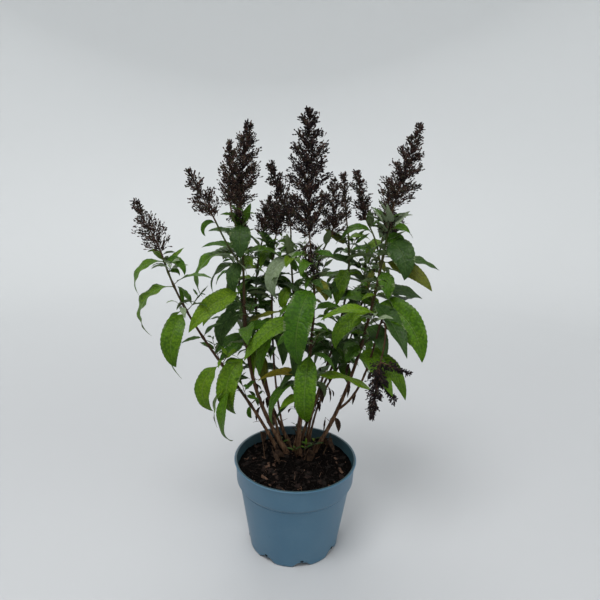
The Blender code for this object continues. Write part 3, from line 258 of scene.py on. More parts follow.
STEMS: list[Stem] = [
    Stem(
        "far_left",
        foot=(-2.3, 1.9, SOIL_TOP), pull_low=(-6.3, 1.0, 22.0), pull_high=(-14.5, -0.1, 30.0),
        tip=(-17.1, -1.0, 40.5), thick=0.25, bare=0.25,
        leaves=[
            Leaf(0.985, 190, 15, 140, 7.0, 1.9, roll=-30, tint=Tint.FRESH),
            Leaf(0.985, 345, 40, 140, 4.0, 1.1, roll=60),
            Leaf(0.88, 195, 10, 150, 9.5, 2.6, roll=-20, tint=Tint.FRESH),
            Leaf(0.89, 340, 40, 55, 6.0, 1.6, roll=10),
            Leaf(0.94, 60, 35, 110, 2.5, 0.7, roll=80),
            Leaf(0.77, 240, -20, 105, 8.5, 2.7, roll=-35, tint=Tint.FRESH),
            Leaf(0.78, 155, -25, 120, 12.0, 2.0, roll=-55, tint=Tint.FRESH),
            Leaf(0.80, 240, 85, 20, 2.5, 0.8, roll=-80),
            Leaf(0.64, 190, 5, 40, 3.0, 0.8, roll=-20),
            Leaf(0.64, 20, 70, 75, 3.5, 0.9, roll=15),
            Leaf(0.50, 210, -15, 130, 8.5, 2.3, partner=4.5, roll=-50, tint=Tint.BRIGHT),
            Leaf(0.43, 200, -40, 70, 8.0, 2.2, tint=Tint.BRIGHT),
            Leaf(0.40, 240, -25, 130, 11.0, 1.9, partner=4.0, roll=15, tint=Tint.FRESH),
            Leaf(0.28, 240, -55, 90, 2.5, 0.7, roll=-30),
        ],
        head=Head("far_left", tip=(-20.2, -1.5, 47.7), wide=4.6),
    ),
    Stem(
        "left_main",
        foot=(-1.2, 2.6, SOIL_TOP), pull_low=(-9.5, 2.4, 25.0), pull_high=(-6.5, 2.2, 34.0),
        tip=(-7.9, 2.0, 45.8), thick=0.33, bare=0.36,
        leaves=[
            Leaf(0.42, 225, -10, 130, 10.5, 3.0, partner=6.5, roll=-45, tint=Tint.BRIGHT),
            Leaf(0.84, 190, 35, 160, 10.5, 2.8, roll=-15, tint=Tint.FRESH),
            Leaf(0.86, 190, 35, 55, 5.5, 1.5, roll=-20),
            Leaf(0.80, 175, 25, 135, 7.0, 1.9, roll=-15),
            Leaf(0.70, 215, 0, 60, 9.5, 2.6, partner=6.0, roll=-55, tint=Tint.BRIGHT),
            Leaf(0.97, 275, -10, 100, 5.5, 2.8, partner=6.0, tint=Tint.DARK),
            Leaf(0.84, 310, 10, 60, 2.5, 1.1, roll=45, tint=Tint.BRIGHT),
            Leaf(0.82, 235, -5, 130, 5.0, 1.9, partner=4.5, roll=-35, tint=Tint.DARK),
            Leaf(0.96, 220, 45, -15, 2.5, 1.3, roll=-80),
            Leaf(0.96, 320, 55, -10, 3.5, 1.4, roll=80),
            Leaf(0.61, 190, -5, 105, 6.5, 2.4, roll=-70, tint=Tint.DARK),
            Leaf(0.58, 170, 10, 30, 5.5, 1.5, roll=-10),
            Leaf(0.65, 200, 0, 55, 3.0, 1.4, roll=-65, tint=Tint.DARK),
            Leaf(0.48, 205, -10, 40, 4.5, 1.6, partner=4.0, roll=-55),
            Leaf(0.56, 0, 35, 30, 5.5, 1.5, roll=15, tint=Tint.OLIVE),
            Leaf(0.55, 315, 10, -20, 5.0, 1.4, roll=70),
        ],
        pairs=2, pair_turn=95,
        twigs=[
            Twig(
                at=0.80, pull_low=(-8.8, 0.5, 41.0), pull_high=(-9.6, -1.5, 43.5), tip=(-10.2, -2.5, 45.2),
                leaves=[Leaf(0.97, 200, 35, 170, 3.0, 0.8, roll=-40)],
                head=Head("left_small", tip=(-13.2, -3.5, 51.2), wide=3.8),
            ),
            Twig(
                at=0.90, pull_low=(-8.0, 1.6, 43.6), pull_high=(-8.4, 0.7, 44.8), tip=(-8.7, 0.3, 46.3),
                head=Head("left_side", tip=(-8.8, -0.4, 54.8), wide=3.2),
            ),
        ],
        head=Head("left_main", tip=(-6.8, 2.5, 57.4), wide=6.0),
    ),
    Stem(
        "left_second",
        foot=(-1.9, 3.7, SOIL_TOP), pull_low=(-4.6, 5.1, 21.5), pull_high=(-7.7, 7.1, 31.5),
        tip=(-5.5, 8.5, 41.7), thick=0.22, bare=0.45,
        leaves=[
            Leaf(0.69, 150, 60, 60, 2.5, 1.0, roll=-50),
            Leaf(0.69, 30, 10, -20, 3.0, 1.1, roll=60),
            Leaf(0.73, 65, 45, 45, 4.5, 1.4, roll=35, tint=Tint.DARK),
            Leaf(0.75, 150, 40, -15, 2.5, 1.3, roll=-45, tint=Tint.DARK),
            Leaf(0.94, 335, 55, 150, 3.0, 1.2, roll=65),
            Leaf(0.91, 350, -5, 30, 2.5, 1.0, roll=70, tint=Tint.DARK),
        ],
        pairs=5, pair_turn=70,
        head=Head("back_left", tip=(-4.4, 9.5, 48.2), wide=4.2),
    ),
    Stem(
        "left_thin",
        foot=(-0.6, 4.0, SOIL_TOP), pull_low=(-4.0, 4.6, 16.5), pull_high=(-4.2, 5.4, 39.5),
        tip=(-3.5, 6.6, 42.3), thick=0.17, bare=0.42,
        leaves=[
            Leaf(0.54, 320, -30, 75, 5.5, 1.5, roll=25, tint=Tint.DARK),
            Leaf(0.54, 230, -25, 120, 4.0, 1.1, roll=-35),
            Leaf(0.86, 200, 80, 30, 4.0, 1.3, roll=-80, tint=Tint.DARK),
        ],
        pairs=3, pair_turn=60,
        head=Head("middle_left_small", tip=(-3.4, 8.0, 47.5), wide=3.6),
    ),
    Stem(
        "centre_left",
        foot=(-0.2, 3.0, SOIL_TOP), pull_low=(2.0, 3.4, 22.0), pull_high=(-1.2, 4.0, 32.5),
        tip=(-1.3, 4.5, 43.3), thick=0.24, bare=0.45,
        leaves=[
            Leaf(0.90, 250, 55, -15, 4.0, 1.3, roll=15),
            Leaf(0.90, 320, -65, -10, 2.0, 1.0, roll=40),
            Leaf(0.90, 170, -10, 15, 3.0, 0.9, roll=-75),
            Leaf(0.90, 220, 5, 140, 7.5, 2.0, roll=-45, tint=Tint.YOUNG),
            Leaf(0.77, 220, 5, 145, 4.0, 1.6, partner=4.0, roll=-45, tint=Tint.BRIGHT),
            Leaf(0.77, 160, 15, -15, 3.0, 1.3, roll=-60, tint=Tint.DARK),
            Leaf(0.77, 20, 50, 20, 2.0, 1.0, roll=60, tint=Tint.DARK),
        ],
        pairs=3, pair_turn=80,
        head=Head("middle_left", tip=(-4.3, 5.6, 52.8), wide=3.8),
    ),
    Stem(
        "centre",
        foot=(0.6, 2.1, SOIL_TOP), pull_low=(-0.3, 0.6, 18.0), pull_high=(3.2, -1.0, 32.0),
        tip=(1.4, 0.8, 41.5), thick=0.34, bare=0.32,
        leaves=[
            Leaf(0.72, 210, 15, 75, 11.5, 3.1, partner=6.5, roll=-10, tint=Tint.FRESH),
            Leaf(0.48, 190, 25, 60, 7.0, 1.9, roll=-15, tint=Tint.YELLOW),
            Leaf(0.48, 350, 20, 65, 10.5, 2.8, roll=-5, tint=Tint.BRIGHT),
            Leaf(0.45, 210, 25, 145, 9.5, 1.8, partner=5.0),
            Leaf(0.37, 230, 35, 70, 5.0, 1.4, partner=3.0, roll=-15, tint=Tint.BRIGHT),
            Leaf(0.85, 245, -5, 125, 12.5, 3.6, partner=8.0, roll=-15),
            Leaf(0.59, 260, -10, 140, 12.5, 3.0, partner=7.5, tint=Tint.FRESH),
            Leaf(0.85, 150, 45, 0, 4.0, 1.1, roll=-10),
            Leaf(0.86, 310, 25, 125, 3.5, 1.6, roll=45, tint=Tint.OLIVE),
            Leaf(0.96, 202, 60, 105, 3.5, 1.2, roll=-30),
            Leaf(0.96, 335, 65, 110, 3.5, 1.2, roll=30),
            Leaf(0.93, 240, 60, 140, 4.5, 1.5, roll=-20),
        ],
        twigs=[
            Twig(
                at=0.86, pull_low=(2.2, 1.6, 39.5), pull_high=(2.9, 2.8, 41.5), tip=(3.8, 3.5, 42.8),
                leaves=[Leaf(0.80, 280, 60, 30, 3.5, 1.0, roll=-15)],
                head=Head("middle_right", tip=(4.3, 5.0, 50.8), wide=4.4),
            ),
        ],
        head=Head("centre", tip=(0.6, 1.0, 59.2), wide=6.8),
    ),
    Stem(
        "centre_right",
        foot=(1.6, 3.9, SOIL_TOP), pull_low=(2.1, 5.4, 22.0), pull_high=(9.0, 7.5, 31.0),
        tip=(6.7, 9.0, 44.5), thick=0.21, bare=0.43,
        leaves=[
            Leaf(0.71, 230, 85, 150, 6.5, 1.8, roll=-60, tint=Tint.DARK),
            Leaf(0.52, 190, 80, 135, 4.5, 1.3, roll=-70),
            Leaf(0.48, 215, 60, 135, 5.0, 1.5, roll=-55, tint=Tint.DARK),
            Leaf(0.58, 10, 80, 85, 3.0, 1.2, roll=60),
            Leaf(0.84, 240, -20, 70, 6.5, 2.3, partner=5.0, roll=-20, tint=Tint.FRESH),
            Leaf(0.82, 190, -5, 0, 5.0, 1.4, roll=-20),
            Leaf(0.93, 200, 25, -10, 4.5, 1.2, roll=-65, tint=Tint.OLIVE),
        ],
        pairs=3, pair_turn=65,
        head=Head("right_small", tip=(5.9, 10.0, 51.8), wide=2.3),
    ),
    Stem(
        "right_thin",
        foot=(2.0, 5.0, SOIL_TOP), pull_low=(3.9, 7.1, 25.0), pull_high=(8.1, 9.9, 17.5),
        tip=(10.2, 12.0, 38.5), thick=0.17, bare=0.5,
        leaves=[
            Leaf(0.97, 265, -15, 60, 6.0, 1.2),
            Leaf(0.98, 190, 35, 30, 7.0, 1.9, partner=5.0, roll=-30, tint=Tint.DARK),
            Leaf(0.70, 200, -75, -20, 3.5, 0.9, roll=-40, tint=Tint.YOUNG),
            Leaf(0.99, 60, 70, 40, 4.5, 1.2, roll=15),
        ],
        pairs=4, pair_turn=100,
    ),
    Stem(
        "right_main",
        foot=(2.7, 2.9, SOIL_TOP), pull_low=(8.6, 2.6, 22.0), pull_high=(10.2, 2.3, 35.5),
        tip=(11.6, 2.0, 46.2), thick=0.33, bare=0.43,
        leaves=[
            Leaf(0.66, 315, 10, 95, 11.5, 3.6, partner=8.0, roll=50, tint=Tint.FRESH),
            Leaf(0.67, 290, -10, 40, 10.5, 2.8, partner=7.0, roll=5, tint=Tint.DARK),
            Leaf(0.71, 20, 5, 35, 8.0, 2.2, roll=40, tint=Tint.DARK),
            Leaf(0.69, 30, -15, -15, 7.5, 2.0, roll=15, tint=Tint.DARK),
            Leaf(0.84, 340, 10, 40, 7.5, 2.0, roll=25, tint=Tint.DARK),
            Leaf(0.82, 325, 5, 55, 8.0, 2.2, partner=6.0, roll=45, tint=Tint.OLIVE),
            Leaf(0.88, 295, 30, 140, 7.5, 3.2, partner=6.0, roll=40, tint=Tint.DARK),
            Leaf(0.89, 320, 65, 130, 3.5, 1.5, roll=75),
            Leaf(0.93, 20, 40, 100, 4.5, 1.2, roll=20),
            Leaf(0.48, 290, 0, 45, 9.5, 2.6, partner=7.0, roll=15, tint=Tint.FRESH),
            Leaf(0.48, 316, 5, 80, 10.0, 2.4, roll=30, tint=Tint.FRESH),
            Leaf(0.57, 290, 15, 85, 6.5, 2.3, partner=5.5, roll=30, tint=Tint.DARK),
            Leaf(0.49, 215, -10, 50, 3.5, 1.8, roll=-40),
            Leaf(0.60, 200, 20, 120, 7.5, 2.3, roll=-55, tint=Tint.FRESH),
            Leaf(0.57, 160, 15, 120, 5.0, 1.4, roll=-70, tint=Tint.YOUNG),
            Leaf(0.78, 290, -5, 95, 4.5, 2.1, partner=5.0, roll=25),
            Leaf(0.95, 200, 45, 0, 3.5, 1.2, roll=-40, tint=Tint.YOUNG),
            Leaf(0.95, 330, 45, 5, 3.5, 1.3, roll=40, tint=Tint.YOUNG),
            Leaf(0.96, 260, 40, 0, 3.0, 1.1, tint=Tint.YOUNG),
            Leaf(0.96, 80, 45, 20, 3.5, 1.1, tint=Tint.YOUNG),
        ],
        twigs=[
            Twig(
                at=0.79, pull_low=(10.7, 3.4, 41.0), pull_high=(10.3, 4.9, 43.0), tip=(9.4, 6.0, 44.6),
                leaves=[
                    Leaf(0.80, 185, 50, 130, 5.5, 1.5, roll=-30),
                    Leaf(0.92, 250, 70, 20, 3.0, 1.1, roll=5),
                    Leaf(0.95, 330, 40, 10, 3.0, 1.1, roll=30),
                ],
                head=Head("middle_right_back", tip=(7.4, 7.5, 52.0), wide=3.3),
            ),
        ],
        head=Head("right_main", tip=(14.3, 1.0, 57.6), wide=6.6),
    ),
    Stem(
        "lower_right",
        foot=(6.0, 2.6, 18.8), pull_low=(9.7, 1.0, 22.0), pull_high=(9.8, -0.7, 30.0),
        tip=(10.6, -2.0, 33.7), thick=0.19, bare=0.62,
        leaves=[
            Leaf(0.98, 200, 40, 75, 9.0, 2.4, roll=-10, tint=Tint.BRIGHT),
            Leaf(0.90, 330, 20, 90, 5.0, 1.4, roll=60),
        ],
        twigs=[
            Twig(
                at=0.93, pull_low=(10.9, -3.4, 34.2), pull_high=(10.8, -4.4, 31.8), tip=(10.4, -4.2, 29.4),
                head=Head(
                    "lower_right",
                    tip=(9.5, -4.6, 20.8),
                    wide=2.9,
                    spurs=((12.6, -4.2, 22.9), (14.2, -4.3, 27.0)),
                ),
            ),
        ],
        parent="right_main",
    ),
    Stem(
        "rear_left",
        foot=(-0.9, 5.2, SOIL_TOP), pull_low=(-5.2, 6.9, 19.5), pull_high=(-10.1, 9.3, 32.5),
        tip=(-9.2, 11.0, 44.4), thick=0.24, bare=0.35,
        leaves=[],
        pairs=9, pair_turn=20,
        head=Head("rear_left", tip=(-9.2, 12.0, 50.6), wide=3.5),
    ),
    Stem(
        "rear_right",
        foot=(0.7, 5.1, SOIL_TOP), pull_low=(2.8, 7.1, 20.0), pull_high=(11.7, 9.9, 33.5),
        tip=(12.6, 12.0, 43.9), thick=0.24, bare=0.35,
        leaves=[],
        pairs=9, pair_turn=50,
        head=Head("rear_right", tip=(13.5, 13.0, 49.5), wide=3.5),
    ),
]

# Small dead leaves that still hang on the bare part of the stems
WITHERED_LEAVES = {
    "left_main": [Leaf(0.20, 215, -50, 45, 2.6, 0.7), Leaf(0.30, 60, -40, 60, 2.0, 0.6)],
    "centre_left": [Leaf(0.36, 320, -30, 90, 3.2, 0.8), Leaf(0.28, 170, -50, 40, 2.4, 0.6)],
    "centre_right": [Leaf(0.33, 280, -45, 60, 3.4, 0.8), Leaf(0.24, 20, -60, 30, 2.2, 0.7)],
    "right_thin": [Leaf(0.36, 300, -50, 50, 2.8, 0.7)],
    "right_main": [Leaf(0.18, 340, -50, 50, 2.6, 0.8), Leaf(0.34, 250, -55, 35, 2.4, 0.7)],
    "rear_left": [Leaf(0.26, 100, -50, 50, 2.6, 0.7)],
    "rear_right": [Leaf(0.25, 60, -40, 70, 2.8, 0.7)],
}

# Seed heads that differ from the usual
HEAD_STYLES = {
    "far_left": HeadStyle(density=0.6, slimming=0.2),
    "left_main": HeadStyle(slimming=0.25, dark=0.1),
    "left_side": HeadStyle(density=0.7),
    "left_small": HeadStyle(density=0.7),
    "middle_left": HeadStyle(dark=0.3),
    "centre": HeadStyle(density=1.12, dark=0.55),
    "middle_right": HeadStyle(density=0.75, dark=0.2),
    "middle_right_back": HeadStyle(dark=0.2),
    "right_small": HeadStyle(density=0.8),
    "right_main": HeadStyle(slimming=0.45, dark=0.1),
    "lower_right": HeadStyle(density=1.15, dark=0.8),
}

# Stems that are open between their large leaves
OPEN_STEMS = ("far_left", "left_main", "lower_right")

# Young leaves in a tuft close under a seed head: number and length in cm
HEAD_TUFTS = {"right_main": (30, 3.7), "left_main": (10, 2.8), "centre": (8, 2.6), "right_thin": (8, 2.4)}

# Drooping branchlets of pods on the stem below its seed head: reach in cm
HEAD_SKIRTS = {"centre": 3.6, "left_main": 1.4, "right_main": 2.4}

# Dead shoots that stand in the soil: foot and tip
DEAD_SHOOTS = (
    ((-4.4, 1.5, SOIL_TOP), (-5.0, 1.1, 15.9)),
    ((4.0, 2.4, SOIL_TOP), (5.0, 1.9, 15.3)),
    ((1.2, 0.9, SOIL_TOP), (1.9, 0.3, 13.7)),
    ((-2.7, 0.8, SOIL_TOP), (-3.3, 0.2, 13.9)),
)

# Young sprouts at the crown: foot, tip and number of leaf pairs
SPROUTS = (
    ((0.2, 1.4, SOIL_TOP), (0.0, 0.9, 13.4), 2),
    ((1.3, 1.8, SOIL_TOP), (1.7, 1.2, 14.0), 3),
    ((2.4, 2.2, SOIL_TOP), (2.8, 1.7, 14.6), 3),
    ((-1.6, 3.4, SOIL_TOP), (-2.3, 3.3, 13.2), 2),
    ((0.2, 6.0, SOIL_TOP), (0.0, 6.8, 14.0), 3),
)


def bezier(ends: tuple, shares: Array | float) -> Array:
    """Points of the cubic curve through four handles, at shares of its length from 0 to 1.

    Args:
        ends: Start, low pull, high pull and end, in cm.
        shares: One share or an array of them.

    Returns:
        One point, or one row for each share.
    """
    start, low, high, end = (np.asarray(point, dtype=float) for point in ends)
    share = np.asarray(shares, dtype=float)[..., None]
    rest = 1.0 - share
    return rest**3 * start + 3 * rest**2 * share * low + 3 * rest * share**2 * high + share**3 * end


def bezier_direction(ends: tuple, shares: Array | float) -> Array:
    """Unit directions of the cubic curve, from the points a small step before and after.

    Args:
        ends: Start, low pull, high pull and end, in cm.
        shares: One share or an array of them.

    Returns:
        One direction, or one row for each share.
    """
    share = np.asarray(shares, dtype=float)
    step = 1e-3
    ahead = bezier(ends, np.minimum(share + step, 1.0)) - bezier(ends, np.maximum(share - step, 0.0))
    return ahead / np.linalg.norm(ahead, axis=-1, keepdims=True)


def across(directions: Array) -> tuple[Array, Array]:
    """Two unit vectors at right angles to each direction and to each other, by cross products.

    Args:
        directions: Unit vectors, one or many.

    Returns:
        A vector to the side of each, and one to its front.
    """
    helper = np.where(np.abs(directions[..., 1:2]) > 0.9, (1.0, 0.0, 0.0), (0.0, 1.0, 0.0))
    side = np.cross(helper, directions)
    side = side / np.linalg.norm(side, axis=-1, keepdims=True)
    return side, np.cross(directions, side)


def twig_ends(stem: Stem, twig: Twig) -> tuple:
    """The four handles of a side twig's curve, which starts on its stem's axis."""
    return (bezier(stem.ends, twig.at), twig.pull_low, twig.pull_high, twig.tip)


def stem_radius(stem: Stem, shares: Array) -> Array:
    """Radius of a stem, tapering from its foot to its tip and flaring at the soil.

    Args:
        stem: The stem; a bough has no flare.
        shares: Shares of its curve.

    Returns:
        One radius for each share, in cm.
    """
    radius = stem.thick + (SHOOT_TIP_RADIUS - stem.thick) * shares**STEM_TAPER
    if stem.parent:
        return radius
    height = bezier(stem.ends, shares)[:, 2] - SOIL_TOP
    return radius * (1.0 + FLARE * np.exp(-height / FLARE_HEIGHT))


def grown_leaves(stem: Stem) -> tuple[list[Leaf], list[Leaf]]:
    """The leaves that follow a rule: partners and crossed pairs, and the small pair in each axil.

    Args:
        stem: The stem whose own seed gives every draw, in the order of its solid.

    Returns:
        The large leaves and the axil leaves.
    """
    draw = Random(stem.name)
    large = []
    for leaf in stem.leaves:
        if leaf.partner:
            wide = leaf.partner * draw.uniform(*PARTNER_WIDTH)
            rise = draw.uniform(*PARTNER_RISE)
            droop = draw.uniform(*PARTNER_DROOP)
            roll = draw.uniform(*PARTNER_ROLL)
            large.append(Leaf(leaf.at, leaf.toward + 180, rise, droop, leaf.partner, wide, roll=roll))
    for i in range(stem.pairs):
        at = stem.bare + (PAIR_TOP - stem.bare) * (i + PAIR_OFFSET) / stem.pairs
        for half in (0, 180):
            toward = stem.pair_turn + 90 * i + half + draw.uniform(*PAIR_TURN)
            long = draw.uniform(*PAIR_LENGTH) * (PAIR_FOOT_GROWTH - PAIR_TIP_LOSS * at)
            wide = long * draw.uniform(*PAIR_WIDTH)
            rise = draw.uniform(*PAIR_RISE)
            droop = draw.uniform(*PAIR_DROOP)
            roll = draw.uniform(*PAIR_ROLL)
            large.append(Leaf(at, toward, rise, droop, long, wide, roll=roll))
    places = []
    for at in sorted(leaf.at for leaf in stem.leaves + large):
        if not places or at - places[-1] > AXIL_SPACING:
            places.append(at)
    small = []
    for i, at in enumerate(places):
        for half in (0, 180):
            toward = AXIL_TOWARD + 90 * i + half + draw.uniform(*AXIL_TURN)
            long = draw.uniform(*AXIL_LEAF_LENGTH)
            rise = draw.uniform(*AXIL_RISE)
            droop = draw.uniform(*AXIL_DROOP)
            small.append(Leaf(at, toward, rise, droop, long, long * AXIL_LEAF_WIDTH))
    return large, small


def head_curve(ends: tuple, head: Head) -> tuple:
    """The curve of a seed head, which carries on from its stem and bends to its tip.

    Args:
        ends: Curve of the stem or twig that carries it.
        head: The head.

    Returns:
        The curve's four handles.
    """
    direction = bezier_direction(ends, 1.0)
    base = np.array(ends[3], dtype=float) + direction * GAP
    tip = np.array(head.tip, dtype=float)
    low = base + direction * np.linalg.norm(tip - base) * HEAD_LOW_PULL
    return (base, low, tip - (tip - base) * HEAD_HIGH_PULL, tip)


def head_outline(shares: Array) -> Array:
    """Breadth of a seed head as a share of its widest, from base to tip."""
    widening = np.minimum(1.0, HEAD_FOOT_BREADTH + HEAD_FOOT_GROWTH * shares)
    return widening * (1.0 - HEAD_TIP_LOSS * shares**HEAD_TIP_POWER)


def arc(start: Array | tuple, middle: Array | tuple, end: Array | tuple) -> tuple:
    """The four handles of a curve that bends once, towards its middle."""
    return (start, middle, middle, end)


def head_curves(ends: tuple, head: Head) -> list[tuple[tuple, float]]:
    """Curve and breadth of a seed head and of each spur at its side.

    Args:
        ends: Curve of the stem or twig that carries it.
        head: The head.

    Returns:
        Pairs of a curve and its breadth, the head's own first.
    """
    main_curve = head_curve(ends, head)
    curves = [(main_curve, head.wide)]
    for i, tip in enumerate(head.spurs):
        start = bezier(main_curve, SPUR_START - SPUR_STEP * i)
        curves.append((arc(start, (start + np.array(tip)) / 2, tip), head.wide * SPUR_BREADTH))
    return curves


def angles(sides: int) -> Array:
    """Equal angles once round, from 0."""
    return np.arange(sides) * 2 * pi / sides


def ring_quads(rows: int, columns: int) -> Array:
    """Corner numbers of the quads between rings of points, ring by ring.

    Args:
        rows: Rings of points.
        columns: Points in a ring.

    Returns:
        One row of four corners for each quad, turning anticlockwise seen from outside.
    """
    row, column = np.meshgrid(np.arange(rows - 1), np.arange(columns), indexing="ij")
    low = (row * columns + column).ravel()
    low_next = (row * columns + (column + 1) % columns).ravel()
    return np.stack([low, low_next, low_next + columns, low + columns], axis=1)


def tube_faces(rows: int, columns: int, turned: bool = False) -> tuple[Array, Array]:
    """Faces of a tube of rings, closed at each end by a pole that is numbered after the rings.

    Args:
        rows: Rings of points.
        columns: Points in a ring.
        turned: True where the rings run the other way round, so that each face is turned over.

    Returns:
        The quads, and the triangles at the first pole and at the last.
    """
    i = np.arange(columns)
    j = (i + 1) % columns
    last, count = (rows - 1) * columns, rows * columns
    foot = np.stack([j, i, np.full(columns, count)], axis=1)
    top = np.stack([last + i, last + j, np.full(columns, count + 1)], axis=1)
    quads, triangles = ring_quads(rows, columns), np.concatenate([foot, top])
    return (quads[:, ::-1], triangles[:, (1, 0, 2)]) if turned else (quads, triangles)


@dataclass
class Batch:
    """Surfaces of one kind gathered into one mesh, each point with its place on its own surface."""

    name: str
    finishes: list[Material]
    sharp_angle: float = 50.0
    points: list[Array] = field(default_factory=list)
    places: list[Array] = field(default_factory=list)
    quads: list[Array] = field(default_factory=list)
    triangles: list[Array] = field(default_factory=list)
    quad_finish: list[Array] = field(default_factory=list)
    triangle_finish: list[Array] = field(default_factory=list)
    count: int = 0

    def add(
        self,
        points: Array,
        places: Array,
        quads: Array,
        triangles: Array | None = None,
        finish: int | Array = 0,
    ) -> None:
        """Take in one surface.

        Args:
            points: Corners in cm, one row each.
            places: Place of each corner on its surface, read by the finish.
            quads: Corner numbers of the four-sided faces, counted from 0.
            triangles: Corner numbers of the three-sided faces, or None.
            finish: Number of the finish for the surface, or one for each quad.
        """
        self.points.append(points.reshape(-1, 3))
        self.places.append(places.reshape(-1, 3))
        self.quads.append(quads + self.count)
        self.quad_finish.append(np.broadcast_to(finish, len(quads)))
        if triangles is not None:
            self.triangles.append(triangles + self.count)
            self.triangle_finish.append(np.broadcast_to(np.max(finish), len(triangles)))
        self.count += points.size // 3

    def make(self, slot: str) -> Object:
        """Turn what was taken in into one object that rides on the plant's body.

        Args:
            slot: The record's material slot of the piece; it is not used.

        Returns:
            The object, linked into the scene.
        """
        faces = np.concatenate(self.quads).tolist()
        finish = list(np.concatenate(self.quad_finish))
        if self.triangles:
            faces += np.concatenate(self.triangles).tolist()
            finish += list(np.concatenate(self.triangle_finish))
        mesh = bpy.data.meshes.new(self.name)
        mesh.from_pydata((np.concatenate(self.points) * CM).tolist(), [], faces)
        for material in self.finishes:
            mesh.materials.append(material)
        mesh.polygons.foreach_set("material_index", np.array(finish, dtype=np.int32))
        place = mesh.attributes.new("place", "FLOAT_VECTOR", "POINT")
        place.data.foreach_set("vector", np.concatenate(self.places).astype(np.float32).ravel())
        mesh.shade_smooth()
        mesh.set_sharp_from_angle(angle=radians(self.sharp_angle))
        piece = bpy.data.objects.new(self.name, mesh)
        bpy.context.scene.collection.objects.link(piece)
        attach(piece, BODY)
        return piece


def limb_surface(
    ends: tuple, shares: Array, radii: Array, seed: float
) -> Surface:
    """A limb: rings of points round a curve, closed by a pole at each end.

    Each point is the curve's point plus radius times (cos a side + sin a front), where side and
    front stand at right angles to the curve and a goes once round.

    Args:
        ends: The four handles of the curve, in cm.
        shares: Shares of the curve where the rings stand.
        radii: Radius for each ring and each side, in cm.
        seed: A number from 0 to 1 kept in the place of every point.

    Returns:
        Points, places (cm along, share round, seed), quads and triangles.
    """
    sides = radii.shape[1]
    centres = bezier(ends, shares)
    directions = bezier_direction(ends, shares)
    side, front = across(directions)
    angle = angles(sides)
    ring = np.cos(angle)[:, None] * side[:, None] + np.sin(angle)[:, None] * front[:, None]
    points = centres[:, None] + radii[..., None] * ring
    along = np.concatenate([[0.0], np.cumsum(np.linalg.norm(np.diff(centres, axis=0), axis=1))])
    places = np.zeros_like(points)
    places[..., 0] = along[:, None]
    places[..., 1] = (np.arange(sides) / sides)[None]
    places[..., 2] = seed
    poles = np.array([centres[0], centres[-1]])
    pole_places = np.array([[0.0, 0.0, seed], [along[-1], 0.0, seed]])
    return (
        np.concatenate([points.reshape(-1, 3), poles]),
        np.concatenate([places.reshape(-1, 3), pole_places]),
        *tube_faces(len(shares), sides),
    )


@dataclass(frozen=True)
class TwigShape:
    """A thin twig: rings along it, points round it, radius at its foot and what that loses, in cm."""

    rings: int
    sides: int
    thick: float
    loss: float
    end: float = 1.0

    def grow(self, ends: tuple, seed: float) -> Surface:
        """The surface of one twig, up to the end's share of its curve.

        Args:
            ends: The four handles of its curve, in cm.
            seed: A number from 0 to 1 kept in the place of every point.

        Returns:
            Points, places, quads and triangles.
        """
        shares = np.linspace(0.0, self.end, self.rings)
        radii = np.repeat((self.thick - self.loss * shares)[:, None], self.sides, axis=1)
        return limb_surface(ends, shares, radii, seed)


class Nodes:
    """Short ways to lay out a node tree."""

    def __init__(self, tree: NodeTree) -> None:
        """Keep the tree that the nodes go into."""
        self.tree = tree

    def add(self, kind: str, **settings: object) -> Node:
        """A new node of a kind, with its settings and its inputs by name.

        Args:
            kind: Blender's name of the node type.
            settings: Properties of the node; a dictionary named inputs sets its sockets.

        Returns:
            The node.
        """
        node = self.tree.nodes.new(kind)
        inputs = settings.pop("inputs", {})
        for name, value in settings.items():
            setattr(node, name, value)
        for name, value in inputs.items():
            if isinstance(value, NodeSocket):
                self.tree.links.new(value, node.inputs[name])
            else:
                node.inputs[name].default_value = value
        return node

    def math(self, operation: str, first: object, second: object = 0.0) -> NodeSocket:
        """One step of arithmetic between two numbers or sockets."""
        return self.add("ShaderNodeMath", operation=operation, inputs={0: first, 1: second}).outputs[0]

    def mix(self, share: object, first: object, second: object) -> NodeSocket:
        """A colour between two colours."""
        return self.add("ShaderNodeMix", data_type="RGBA", inputs={0: share, 6: first, 7: second}).outputs[2]

    def times(self, first: object, second: object) -> NodeSocket:
        """One number times another."""
        return self.math("MULTIPLY", first, second)

    def link(self, value: NodeSocket, node: Node, name: str) -> None:
        """Feed a value into a node's input."""
        self.tree.links.new(value, node.inputs[name])

    def ramp(self, value: object, low: object, high: object) -> NodeSocket:
        """A smooth step from 0 at the low value to 1 at the high one."""
        node = self.add(
            "ShaderNodeMapRange", interpolation_type="SMOOTHSTEP",
            inputs={"Value": value, "From Min": low, "From Max": high},
        )
        return node.outputs["Result"]


def rgba(colour: RGB) -> tuple[float, float, float, float]:
    """A colour with full cover."""
    return (*colour, 1.0)


NUMBER, COLOUR, PLACE = "NodeSocketFloat", "NodeSocketColor", "NodeSocketVector"


def new_group(
    name: str, inputs: dict[str, tuple[str, object]], outputs: dict[str, str]
) -> tuple[Nodes, dict, Node]:
    """An empty shader node group with named sockets.

    Args:
        name: The group's name.
        inputs: Socket type and default value by name.
        outputs: Socket type by name.

    Returns:
        The nodes inside it, its input sockets by name and its output node.
    """
    tree = bpy.data.node_groups.new(name, "ShaderNodeTree")
    for label, (kind, value) in inputs.items():
        socket = tree.interface.new_socket(label, in_out="INPUT", socket_type=kind)
        if value is not None:
            socket.default_value = value
    for label, kind in outputs.items():
        tree.interface.new_socket(label, in_out="OUTPUT", socket_type=kind)
    nodes = Nodes(tree)
    entry = nodes.add("NodeGroupInput")
    return nodes, entry.outputs, nodes.add("NodeGroupOutput")


